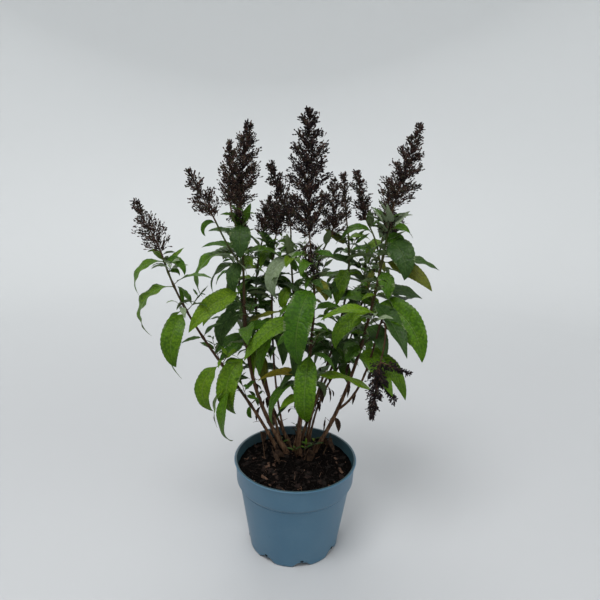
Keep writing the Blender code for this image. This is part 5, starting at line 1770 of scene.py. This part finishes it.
    def add_leaf(self, batch: Batch, ends: tuple, leaf: Leaf, draw: Random) -> None:
        """Grow one blade.

        The midrib starts at the stem and bends evenly in an upright plane, its slope being the rise
        less the droop times the share along it. At a share s the half breadth is
        wide/2 * sin(pi s^0.85)^0.9, less a saw of fine teeth. Across, the blade folds up like a
        shallow V, its margin ripples, and the underside lies the thickness below the top.

        Args:
            batch: Where the surface goes.
            ends: Curve of the stem.
            leaf: The leaf.
            draw: Source of the small differences.
        """
        rows = int(np.clip(round(leaf.long / self.row_pitch), *self.row_limits))
        across_top = 9 if leaf.long > self.big_leaf else 5
        shares = np.linspace(0.0, 0.992, rows)
        drift = draw.uniform(-self.heading_drift, self.heading_drift)
        heading = radians(leaf.toward) + radians(drift) * (shares - 0.3)
        slope = np.radians(leaf.rise - leaf.droop * shares)
        roll = np.radians(leaf.roll + draw.uniform(-self.roll_drift, self.roll_drift) * shares)
        level = np.stack([-np.sin(heading), np.cos(heading), np.zeros(rows)], axis=1)
        direction = np.stack(
            [np.cos(slope) * np.cos(heading), np.cos(slope) * np.sin(heading), np.sin(slope)], axis=1
        )
        start = np.array([cos(radians(leaf.toward)), sin(radians(leaf.toward)), 0.0])
        root = bezier(ends, min(leaf.at, 1.0)) + start * SHOOT_TIP_RADIUS * 0.4
        middle = (direction[1:] + direction[:-1]) / 2
        stride = np.diff(shares)[:, None] * leaf.long
        midrib = root + np.concatenate([np.zeros((1, 3)), np.cumsum(middle * stride, axis=0)])
        side = np.cos(roll)[:, None] * level + np.sin(roll)[:, None] * np.cross(direction, level)
        top = np.cross(direction, side)

        half = leaf.wide / 2 * np.sin(pi * np.clip(shares, 1e-4, 1.0) ** BLADE_SHIFT) ** BLADE_ROUNDING
        half *= 1 - self.tooth_depth * (np.arange(rows) % 2)
        half *= np.clip((shares - self.petiole_share) / 0.12, 0.0, 1.0) ** 0.7
        stalk = self.petiole_radius * min(1.0, leaf.long / 5)
        half = np.maximum(half, stalk * np.clip((1.0 - shares) * 6, 0.15, 1.0))
        spread = np.linspace(-1.0, 1.0, across_top)
        fold = self.fold * draw.uniform(*self.fold_spread)
        ripple = draw.uniform(*self.ripple) * leaf.wide
        waves = draw.uniform(*self.ripple_waves) * 2 * pi
        phase = draw.uniform(0, 2 * pi)
        arch = draw.uniform(*self.arch)
        lift = half[:, None] * (fold * np.abs(spread)[None] ** 1.25 - arch * np.abs(spread)[None] ** 3)
        edge = np.sin(shares[:, None] * waves + phase + spread[None] * 1.4) * np.abs(spread)[None] ** 2
        lift = lift + ripple * edge * (half / max(leaf.wide / 2, 1e-3))[:, None]
        thick = np.minimum(self.thickness, half * 0.8)[:, None] + stalk * np.exp(
            -((shares / (self.petiole_share * 1.4)) ** 4)
        )[:, None]
        thick = thick * (1 - 0.25 * np.abs(spread)[None])

        over = midrib[:, None] + half[:, None, None] * spread[None, :, None] * side[:, None]
        over = over + lift[..., None] * top[:, None]
        under = (over - thick[..., None] * top[:, None])[:, -2:0:-1]
        ring = np.concatenate([over, under], axis=1)
        seed = draw.random()
        places = np.zeros_like(ring)
        places[..., 0] = (shares * leaf.long)[:, None]
        places[..., 1] = np.concatenate([spread, spread[-2:0:-1]])[None]
        places[..., 2] = seed
        columns = ring.shape[1]
        tip = midrib[-1] + direction[-1] * leaf.long * 0.008
        points = np.concatenate([ring.reshape(-1, 3), [midrib[0], tip]])
        places = np.concatenate([places.reshape(-1, 3), [[0.0, 0.0, seed], [leaf.long, 0.0, seed]]])
        on_top = (np.arange(columns) < across_top - 1).astype(int)
        below = leaf.tint.value if leaf.tint in (Tint.WITHERED, Tint.YOUNG) else len(Tint)
        finish = np.where(np.tile(on_top, rows - 1) == 1, leaf.tint.value, below)
        batch.add(points, places, *tube_faces(rows, columns, turned=True), finish)


@dataclass
class CrownGrowth:
    """Small green sprouts at the soil, in cm."""

    foliage: Foliage
    leaf_length: Pair = (0.9, 1.7)
    sprout: TwigShape = TwigShape(rings=14, sides=8, thick=0.09, loss=0.04)
    habit: LeafHabit = LeafHabit(rise=(10, 60), droop=(30, 90), breadth=(0.28, 0.4), roll=30)

    def build(self, palette: Palette) -> list[Object]:
        """Grow the sprouts.

        Args:
            palette: The finishes.

        Returns:
            The piece, in a list.
        """
        skins = palette.built(*LEAF_SKINS, SHOOT_BARK)
        bark = len(skins) - 1
        sprouts = Batch("crown_sprouts", skins, 70.0)
        draw = Random("sprouts")
        for foot, tip, pairs in SPROUTS:
            bend = np.array([draw.uniform(-0.3, 0.3), 0.0, 0.3])
            ends = arc(foot, (np.array(foot) + np.array(tip)) / 2 + bend, tip)
            sprouts.add(*self.sprout.grow(ends, draw.random()), finish=bark)
            for i in range(pairs):
                for half in (0, 180):
                    long = draw.uniform(*self.leaf_length) * (1 - 0.1 * i)
                    toward = 90 * i + half + draw.uniform(-30, 30)
                    leaf = self.habit.leaf(draw, 0.35 + 0.62 * (i + 1) / pairs, toward, long)
                    leaf.tint = draw.choice((Tint.GREEN, Tint.BRIGHT, Tint.DARK))
                    self.foliage.add_leaf(sprouts, ends, leaf, draw)
        return [sprouts.make("leaf_green")]


@dataclass
class DeadTwigs:
    """Short dry twigs and shrivelled leaves that are left on the canes, in cm."""

    stems: list[Stem]
    foliage: Foliage
    pitch: float = 2.0
    leafy_share: float = 0.6
    twig_reach: Pair = (0.5, 1.7)
    twig_leaf_length: Pair = (0.8, 2.4)
    shoot_leaf_length: Pair = (1.2, 2.6)
    leaves_per_shoot: int = 4
    twig: TwigShape = TwigShape(rings=8, sides=5, thick=0.055, loss=0.035)
    dead_shoot: TwigShape = TwigShape(rings=16, sides=7, thick=0.1, loss=0.06)
    twig_habit: LeafHabit = LeafHabit(rise=(-70, -20), droop=(20, 80), breadth=(0.2, 0.4), roll=80)
    shoot_habit: LeafHabit = LeafHabit(rise=(-60, 0), droop=(30, 90), breadth=(0.25, 0.4), roll=80)

    def build(self, palette: Palette) -> list[Object]:
        """Set the dry twigs and hang the dead leaves.

        Args:
            palette: The finishes.

        Returns:
            The two pieces.
        """
        twigs = Batch("dry_twigs", palette.built(SEED_STALK))
        dead = Batch("withered_leaves", palette.built(*LEAF_SKINS), 70.0)
        for stem in self.stems:
            draw = Random(stem.name + "_dry")
            length = stem.bare * np.linalg.norm(np.array(stem.tip) - np.array(stem.foot))
            number = int(length / self.pitch)
            for i in range(number):
                curve = self.stub(stem, stem.bare * (0.12 + 0.86 * (i + draw.random()) / number), draw)
                twigs.add(*self.twig.grow(curve, draw.random()))
                if draw.random() < self.leafy_share:
                    long = draw.uniform(*self.twig_leaf_length)
                    leaf = self.twig_habit.leaf(draw, 0.97, draw.uniform(0, 360), long)
                    self.foliage.add_leaf(dead, curve, replace(leaf, tint=Tint.WITHERED), draw)
            for leaf in WITHERED_LEAVES.get(stem.name, ()):
                hung = replace(leaf, roll=draw.uniform(-70, 70), tint=Tint.WITHERED)
                self.foliage.add_leaf(dead, stem.ends, hung, draw)
        self.add_dead_shoots(twigs, dead)
        return [twigs.make("stem_bark"), dead.make("leaf_green")]

    def add_dead_shoots(self, twigs: Batch, dead: Batch) -> None:
        """Dead shoots from the soil, each with a few shrivelled leaves that hang down.

        Args:
            twigs: Where the shoots go.
            dead: Where the leaves go.
        """
        draw = Random("dead_shoots")
        for foot, tip in DEAD_SHOOTS:
            sunk = np.array(foot) - np.array([0.0, 0.0, 0.3])
            bend = np.array([draw.uniform(-0.3, 0.3), 0.0, 0.0])
            ends = arc(sunk, (np.array(foot) + np.array(tip)) / 2 + bend, tip)
            twigs.add(*self.dead_shoot.grow(ends, draw.random()))
            for _ in range(self.leaves_per_shoot):
                long = draw.uniform(*self.shoot_leaf_length)
                leaf = self.shoot_habit.leaf(draw, draw.uniform(0.55, 1.0), draw.uniform(0, 360), long)
                self.foliage.add_leaf(dead, ends, replace(leaf, tint=Tint.WITHERED), draw)

    def stub(self, stem: Stem, at: float, draw: Random) -> tuple:
        """The curve of one dry twig, which starts inside its cane and sags a little.

        Args:
            stem: The stem that carries it.
            at: Its place along the stem.
            draw: Source of its direction, length and bend.

        Returns:
            The curve's four handles.
        """
        heading = draw.uniform(0, 2 * pi)
        outward = np.array([cos(heading), sin(heading), draw.uniform(-0.3, 0.8)])
        start = bezier(stem.ends, at)
        reach = draw.uniform(*self.twig_reach)
        middle = start + outward * reach * 0.5 + np.array([0.0, 0.0, draw.uniform(-0.15, 0.2)])
        return arc(start, middle, start + outward * reach + np.array([0.0, 0.0, draw.uniform(-0.5, 0.1)]))


@dataclass
class SeedHeads:
    """The spent flower heads: a stalk, a spiral of fine branchlets and small pointed pods, in cm."""

    stems: list[Stem]
    stalk: TwigShape = TwigShape(rings=40, sides=8, thick=0.11, loss=0.08, end=0.97)
    branchlet: TwigShape = TwigShape(rings=6, sides=4, thick=0.04, loss=0.02)
    stalk_share: float = 0.09
    skirt_breadth: float = 0.62
    skirt_density: float = 0.6
    cluster_rise: float = 0.85
    cluster_lean: Pair = (0.7, 1.3)
    cluster_reach: Pair = (0.85, 1.1)
    cluster_turn: float = 137.5
    cluster_drift: float = 15
    cluster_pitch: float = 0.48
    finer_reach: Pair = (0.75, 1.02)
    spur_pitch: float = 0.8
    finer: int = 4
    pods_per_branchlet: int = 19
    pod_length: Pair = (0.38, 0.72)
    pod_radius: float = 0.084
    pod_girth: Pair = (0.7, 1.15)
    pod_spread: Pair = (0.35, 1.1)
    pod_stations: tuple[float, ...] = (0.0, 0.42, 0.66, 0.92)
    pod_swell: tuple[float, ...] = (0.3, 0.34, 1.0, 0.7)
    pod_sides: int = 4
    group_edges: Pair = (-4.35, 3.0)

    def build(self, palette: Palette) -> list[Object]:
        """Grow the stalks of all heads as one piece and their pods as three.

        Args:
            palette: The finishes.

        Returns:
            The pieces, which stand for the solids of the heads.
        """
        stalks = Batch("seed_stalks", palette.built(SEED_STALK))
        skins = palette.built(*POD_SKINS)
        groups = [Batch("seed_pods_" + side, skins, 80.0) for side in ("left", "middle", "right")]
        nodes = []
        for ends, head in self.heads():
            nodes.append("seed_head_" + head.name)
            style = HEAD_STYLES.get(head.name, HeadStyle())
            pods = groups[int(head.tip[0] > self.group_edges[0]) + int(head.tip[0] > self.group_edges[1])]
            draw = Random(head.name)
            fine = np.random.default_rng(Random(head.name + "_pods").getrandbits(32))
            seed = Random(head.name + "_seed").random()
            for number, (curve, wide) in enumerate(head_curves(ends, head)):
                stalks.add(*self.stalk.grow(curve, seed))
                pitch = self.spur_pitch if number else self.cluster_pitch
                self.add_clusters(stalks, pods, curve, wide, pitch, style, draw, fine)
            if head.name in HEAD_SKIRTS:
                down = self.skirt_curve(ends, head)
                draw = Random(head.name + "_skirt")
                style = replace(style, density=self.skirt_density, slimming=0.0)
                wide = head.wide * self.skirt_breadth
                self.add_clusters(stalks, pods, down, wide, self.cluster_pitch, style, draw, fine)
        pieces = [stalks.make("stem_bark"), *(pods.make("seed_pods") for pods in groups)]
        for piece in pieces:
            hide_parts(*nodes)
        return pieces

    @staticmethod
    def skirt_curve(ends: tuple, head: Head) -> tuple:
        """The curve of a head's skirt, from low in the head down its stem.

        Args:
            ends: Curve of the stem.
            head: The head.

        Returns:
            The curve's four handles.
        """
        length = np.linalg.norm(np.array(ends[3]) - np.array(ends[0]))
        top, reach = head_curve(ends, head), HEAD_SKIRTS[head.name]
        low = [bezier(ends, 1 - reach / length * share) for share in (0.4, 1.0)]
        return (bezier(top, 0.14), bezier(top, 0.05), *low)

    def heads(self) -> list[tuple[tuple, Head]]:
        """Each seed head with the curve that carries it.

        Returns:
            Pairs of a curve and a head, those of the stems first.
        """
        found = [(stem.ends, stem.head) for stem in self.stems if stem.head]
        for stem in self.stems:
            found += [(twig_ends(stem, twig), twig.head) for twig in stem.twigs if twig.head]
        return found

    def add_clusters(
        self, stalks: Batch, pods: Batch, curve: tuple, wide: float, pitch: float, style: HeadStyle,
        draw: Random, fine: np.random.Generator,
    ) -> None:
        """Branchlets in a spiral, leaning to the tip, each beset with pods.

        The branchlet's place, lean and length follow the draws of the solid. Its pods start along it
        and point outward, spread about its direction.

        Args:
            stalks: Where the branchlets go.
            pods: Where the pods go.
            curve: The head's curve.
            wide: The head's widest breadth.
            pitch: Distance between branchlets along the curve.
            style: How the head differs from the usual.
            draw: The head's own draws.
            fine: Draws for the pods.
        """
        length = np.linalg.norm(np.array(curve[3]) - np.array(curve[0]))
        count = int(length * (1 - self.stalk_share) / pitch)
        for i in range(count):
            drift = draw.uniform(-self.cluster_drift, self.cluster_drift)
            angle = radians(self.cluster_turn * i + drift)
            lean = self.cluster_rise * draw.uniform(*self.cluster_lean)
            reach = draw.uniform(*self.cluster_reach)
            for part in range(self.finer):
                between = part / self.finer
                share = self.stalk_share + 0.03 + (0.93 - self.stalk_share) * (i + between) / count
                axis = bezier_direction(curve, share)
                side, front = across(axis)
                turn = angle + radians(self.cluster_turn) * between * 5
                outward = cos(turn) * side + sin(turn) * front
                direction = outward + axis * lean
                direction = direction / np.linalg.norm(direction)
                slim = (1.0 - 0.5 * max(0.0, share - 0.7) / 0.3) * (1.0 - style.slimming * share)
                stretch = reach if part == 0 else fine.uniform(*self.finer_reach)
                long = wide / 2 * float(head_outline(share)) * slim * stretch / float(direction @ outward)
                start = bezier(curve, share)
                end = start + direction * (long - 0.3)
                curved = arc(start, (start + end) / 2 + fine.normal(0, 0.05, 3), end)
                stalks.add(*self.branchlet.grow(curved, share))
                number = round(self.pods_per_branchlet * style.density * min(1.5, max(0.5, long / 2.2)))
                self.add_pods(pods, start, direction, long, share, number, axis, style.dark, fine)

    def add_pods(
        self, pods: Batch, start: Array, direction: Array, long: float, share: float,
        number: int, axis: Array, dark: float, fine: np.random.Generator,
    ) -> None:
        """Pods about one branchlet: one spindle turned and scaled for each, all at once.

        Each spindle is a row of rings with radius r(t) at the share t of its length, laid along its
        own direction. Its base is drawn near the branchlet, and its tip stays in the head's outline.

        Args:
            pods: Where the pods go.
            start: Foot of the branchlet.
            direction: Its direction.
            long: Its length.
            share: Share of the head's length, which decides the colour.
            number: How many pods.
            axis: The head's direction there.
            dark: Share of the pods that turn to the darkest finish.
            fine: Draws for the pods.
        """
        size = fine.uniform(*self.pod_length, number)
        spread = fine.normal(0.0, 1.0, (number, 3))
        spread /= np.linalg.norm(spread, axis=1, keepdims=True)
        aim = direction + spread * fine.uniform(*self.pod_spread, (number, 1)) + axis * 0.15
        aim /= np.linalg.norm(aim, axis=1, keepdims=True)
        travel = (0.1 + 0.9 * fine.random(number) ** 0.8) * long
        scatter = fine.normal(0.0, 1.0, (number, 3)) * np.minimum(0.22, 0.12 * travel)[:, None]
        base = start + direction * np.clip(travel - size * 0.8, 0.05, None)[:, None] + scatter
        stations, swell = np.array(self.pod_stations), np.array(self.pod_swell)
        turn = angles(self.pod_sides)
        side, front = across(aim)
        ring = np.cos(turn)[None, :, None] * side[:, None] + np.sin(turn)[None, :, None] * front[:, None]
        girth = self.pod_radius * fine.uniform(*self.pod_girth, number)
        rings = (
            base[:, None, None]
            + (stations[None, :, None] * size[:, None, None])[..., None] * aim[:, None, None]
            + (girth[:, None] * swell[None])[..., None, None] * ring[:, None]
        )
        tips = base + aim * size[:, None]
        per_pod = len(stations) * self.pod_sides + 2
        points = np.concatenate([rings.reshape(number, -1, 3), base[:, None], tips[:, None]], axis=1)
        quads, closed = tube_faces(len(stations), self.pod_sides)
        low = max(0.0, 1.0 - share * 2.2)
        weights = np.array([0.42 - 0.22 * low, 0.28 + 0.12 * low, 0.2 + 0.1 * low, 0.1]) * (1 - dark)
        weights[0] += dark
        kind = fine.choice(len(weights), number, p=weights / weights.sum())
        for finish in range(len(weights)):
            chosen = np.flatnonzero(kind == finish)
            if len(chosen):
                local = (np.arange(len(chosen)) * per_pod)[:, None, None]
                pods.add(
                    points[chosen], np.zeros((len(chosen) * per_pod, 3)),
                    (quads[None] + local).reshape(-1, 4), (closed[None] + local).reshape(-1, 3), finish,
                )


@dataclass
class Soil:
    """Peaty soil with bark chips and fibres, in cm."""

    foot: Pair = (5.9, 0.9)
    crease: Pair = (7.55, 9.3)
    top_radius: float = 7.93
    rings: int = 70
    sides: int = 200
    bump: float = 0.3
    octaves: tuple[Pair, ...] = ((1.3, 0.45), (3.0, 0.28), (7.0, 0.17), (15.0, 0.1))
    waves_per_octave: int = 9
    calm_edge: float = 1.5
    chips: int = 520
    chip_seed: int = 4
    chip_mix: tuple[float, ...] = (0.08, 0.42, 0.5)
    fibres: int = 70
    fibre_length: Pair = (0.6, 2.2)
    fibre_radius: Pair = (0.02, 0.045)

    def height(self, x: Array, y: Array) -> Array:
        """Height of the soil: a sum of waves in many directions, calm and full at the crown.

        Args:
            x: Places to the right of the pot's axis.
            y: Places behind it.

        Returns:
            The height at each place.
        """
        draw = Random("soil")
        total = np.zeros_like(x)
        for octave, amount in self.octaves:
            for _ in range(self.waves_per_octave):
                bearing = draw.uniform(0, 2 * pi)
                wave = octave * draw.uniform(0.7, 1.4)
                phase = draw.uniform(0, 2 * pi)
                total += amount / 3 * np.sin(wave * (x * cos(bearing) + y * sin(bearing)) + phase)
        from_crown = np.hypot(x - CROWN[0], y - CROWN[1])
        calm = np.clip((from_crown - CROWN_PATCH_RADIUS) / self.calm_edge, 0.0, 1.0)
        sunk = SOIL_TOP - self.bump * 0.5 + self.bump * total * 0.75
        return SOIL_TOP + (np.minimum(sunk, SOIL_TOP + 0.08) - SOIL_TOP) * calm + 0.05 * total * (1 - calm)

    def build(self, palette: Palette) -> list[Object]:
        """Lay the soil and strew the chips and fibres.

        Args:
            palette: The finishes.

        Returns:
            The two pieces; the soil stands for its solid.
        """
        ground = Batch("soil_bed", palette.built(SOIL_PEAT), 60.0)
        angle = angles(self.sides)
        radius = self.top_radius * np.linspace(1.0, 1.0 / self.rings, self.rings)[:, None]
        x, y = radius * np.cos(angle), radius * np.sin(angle)
        surface = np.stack([x, y, self.height(x, y)], axis=-1)
        skirt = [
            np.stack([r * np.cos(angle), r * np.sin(angle), np.full(self.sides, h)], axis=-1)
            for r, h in (self.foot, self.crease)
        ]
        rows = np.concatenate([np.stack(skirt), surface])
        centre_height = float(self.height(np.array(0.0), np.array(0.0)))
        poles = [[0.0, 0.0, self.foot[1]], [0.0, 0.0, centre_height]]
        points = np.concatenate([rows.reshape(-1, 3), poles])
        ground.add(points, np.zeros_like(points), *tube_faces(len(rows), self.sides))
        bed = ground.make("potting_soil")
        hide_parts("soil")
        litter = Batch("bark_chips", palette.built(*CHIP_SKINS), 25.0)
        self.strew_chips(litter)
        self.strew_fibres(litter)
        return [bed, litter.make("potting_soil")]

    def strew_chips(self, litter: Batch) -> None:
        """Bark chips: flat blocks with uneven corners, tilted and half sunk.

        Args:
            litter: Where the chips go.
        """
        fine, number = np.random.default_rng(self.chip_seed), self.chips
        square = ((-1, -1), (1, -1), (1, 1), (-1, 1))
        corners = np.array([(x, y, z) for z in (-1, 1) for x, y in square], float)
        around = [[i, (i + 1) % 4, (i + 1) % 4 + 4, i + 4] for i in range(4)]
        faces = np.array([[3, 2, 1, 0], [4, 5, 6, 7], *around])
        reach = (self.top_radius - 0.5) * np.sqrt(fine.random(number))
        bearing = fine.uniform(0, 2 * pi, number)
        long = 0.09 + 0.45 * fine.random(number) ** 3.0
        wide, high = long * fine.uniform(0.25, 0.7, number), fine.uniform(0.03, 0.1, number)
        size = np.stack([long, wide, high], axis=1)
        block = corners[None] * size[:, None] * (1 + fine.uniform(-0.35, 0.2, (number, 8, 3)))
        yaw = fine.uniform(0, 2 * pi, number)[:, None]
        tilt = fine.normal(0, 0.28, (number, 2))
        x, y = reach * np.cos(bearing), reach * np.sin(bearing)
        turned_x = block[..., 0] * np.cos(yaw) - block[..., 1] * np.sin(yaw)
        turned_y = block[..., 0] * np.sin(yaw) + block[..., 1] * np.cos(yaw)
        lifted = block[..., 2] + turned_x * tilt[:, :1] + turned_y * tilt[:, 1:]
        high = self.height(x, y)[:, None] + 0.02 + lifted
        points = np.stack([x[:, None] + turned_x, y[:, None] + turned_y, high], axis=-1)
        kind = fine.choice(len(self.chip_mix), number, p=self.chip_mix)
        for finish in range(len(self.chip_mix)):
            chosen = points[kind == finish]
            shift = (np.arange(len(chosen)) * 8)[:, None, None]
            quads = (faces[None] + shift).reshape(-1, 4)
            litter.add(chosen, np.zeros((len(chosen) * 8, 3)), quads, finish=finish)

    def strew_fibres(self, litter: Batch) -> None:
        """Thin fibres that lie on the soil in shallow arcs.

        Args:
            litter: Where the fibres go.
        """
        draw = Random("fibres")
        for _ in range(self.fibres):
            reach = (self.top_radius - 1.2) * sqrt(draw.random())
            bearing = draw.uniform(0, 2 * pi)
            heading = draw.uniform(0, 2 * pi)
            long = draw.uniform(*self.fibre_length)
            foot = np.array([reach * cos(bearing), reach * sin(bearing)])
            step = np.array([cos(heading), sin(heading)]) * long / 2
            flat = np.array([foot - step, foot + step])
            flat *= np.minimum(1.0, 7.3 / np.linalg.norm(flat, axis=1, keepdims=True))
            high = self.height(flat[:, 0], flat[:, 1]) + 0.04
            middle = np.array([*(flat.mean(0) + draw.uniform(-0.3, 0.3)), SOIL_TOP + draw.uniform(0.0, 0.3)])
            ends = arc((*flat[0], high[0]), middle, (*flat[1], high[1]))
            fibre = TwigShape(rings=9, sides=4, thick=draw.uniform(*self.fibre_radius), loss=0.0)
            litter.add(*fibre.grow(ends, draw.random()), finish=draw.choice((0, 1, 1, 2)))


@dataclass
class Studio:
    """A pale rounded floor, soft lights and the camera at the photograph's angle, in metres."""

    camera_place: tuple[float, float, float] = (-0.006, -0.597, 0.494)
    pitch: float = 13.30
    roll: float = 1.44
    yaw: float = 0.67
    focal_share: float = 473.25 / 600
    sensor: float = 36.0
    floor_colour: RGB = (0.46, 0.47, 0.48)
    wall_colour: RGB = (0.7, 0.715, 0.72)

    def build(self) -> None:
        """Set up the floor, the lights and the camera."""
        self.build_floor()
        self.build_lights()
        self.build_camera()

    def build_floor(self) -> Object:
        """A round floor whose rim sweeps up: a flat disc, then a quarter circle, then a wall.

        Returns:
            The floor, linked into the scene.
        """
        sides = 96
        flat, bend, tall = 1.5, 1.0, 1.6
        arc = np.linspace(0, pi / 2, 16)
        rows = [(0.35, 0.0), (flat, 0.0)]
        rows += [(flat + bend * sin(a), bend * (1 - cos(a))) for a in arc[1:]]
        rows.append((flat + bend, bend + tall))
        profile = np.array(rows)
        angle = angles(sides)
        x, y = profile[:, :1] * np.cos(angle), profile[:, :1] * np.sin(angle)
        points = np.stack([x, y, np.repeat(profile[:, 1:], sides, axis=1)], axis=-1).reshape(-1, 3)
        quads = ring_quads(len(profile), sides)[:, ::-1]
        i = np.arange(sides)
        middle = np.stack([i, (i + 1) % sides, np.full(sides, len(points))], axis=1)
        mesh = bpy.data.meshes.new("floor")
        mesh.from_pydata([*points.tolist(), [0.0, 0.0, 0.0]], [], quads.tolist() + middle.tolist())
        mesh.shade_smooth()
        material, nodes, shader = new_material("floor_paint", 0.8, 0.2)
        where = nodes.add("ShaderNodeTexCoord").outputs["Object"]
        reach = nodes.add("ShaderNodeVectorMath", operation="LENGTH", inputs={0: where}).outputs["Value"]
        far = nodes.ramp(reach, 0.4, flat + bend)
        paint = nodes.mix(far, rgba(self.floor_colour), rgba(self.wall_colour))
        nodes.link(paint, shader, "Base Color")
        mesh.materials.append(material)
        floor = bpy.data.objects.new("floor", mesh)
        bpy.context.scene.collection.objects.link(floor)
        return floor

    def build_lights(self) -> None:
        """Three large soft lights above the floor's rim and a pale sky."""
        for name, place, power, size in (
            ("key_light", (-0.5, -0.8, 2.1), 33.0, 1.0),
            ("fill_light", (1.5, -0.9, 1.4), 9.0, 1.4),
            ("back_light", (-0.2, 1.4, 2.0), 18.0, 1.4),
        ):
            light = bpy.data.lights.new(name, "AREA")
            light.energy = power
            light.size = size
            lamp = bpy.data.objects.new(name, light)
            lamp.location = place
            aim = Vector((0.0, 0.0, 0.25)) - Vector(place)
            lamp.rotation_euler = aim.to_track_quat("-Z", "Y").to_euler()
            bpy.context.scene.collection.objects.link(lamp)
        world = bpy.data.worlds.new("pale_sky")
        world.use_nodes = True
        sky = world.node_tree.nodes["Background"]
        sky.inputs["Color"].default_value = (0.95, 0.98, 1.0, 1.0)
        sky.inputs["Strength"].default_value = 0.48
        bpy.context.scene.world = world
        bpy.context.scene.view_settings.view_transform = "Standard"

    def build_camera(self) -> None:
        """The camera, from its place, its pitch down, its yaw to the left and its roll."""
        pitch, roll, yaw = (radians(value) for value in (self.pitch, self.roll, self.yaw))
        ahead = np.array([sin(yaw), cos(yaw), 0.0])
        forward = cos(pitch) * ahead - sin(pitch) * np.array([0.0, 0.0, 1.0])
        right = np.array([cos(yaw), -sin(yaw), 0.0])
        up = np.cross(right, forward)
        rolled_right = cos(roll) * right + sin(roll) * up
        rolled_up = -sin(roll) * right + cos(roll) * up
        turn = np.eye(4)
        turn[:3] = np.stack([rolled_right, rolled_up, -forward, self.camera_place], axis=1)
        lens = bpy.data.cameras.new("camera")
        lens.sensor_width = self.sensor
        lens.lens = self.focal_share * self.sensor
        lens.clip_start, lens.clip_end = 0.01, 50.0
        camera = bpy.data.objects.new("camera", lens)
        camera.matrix_world = Matrix(turn.tolist())
        bpy.context.scene.collection.objects.link(camera)
        bpy.context.scene.camera = camera


def main() -> None:
    """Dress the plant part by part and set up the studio."""
    logging.basicConfig(level=logging.INFO, format="%(name)s: %(message)s")
    palette = Palette(Effects())
    foliage = Foliage(STEMS)
    sprouts, dead_twigs = CrownGrowth(foliage), DeadTwigs(STEMS, foliage)
    parts = (Pot(), Soil(), Canes(STEMS), Shoots(STEMS), foliage, sprouts, dead_twigs, SeedHeads(STEMS))
    for part in parts:
        for piece in part.build(palette):
            LOG.info("%s: %d faces", piece.name, len(piece.data.polygons))
    Studio().build()


if __name__ == "__main__":
    main()
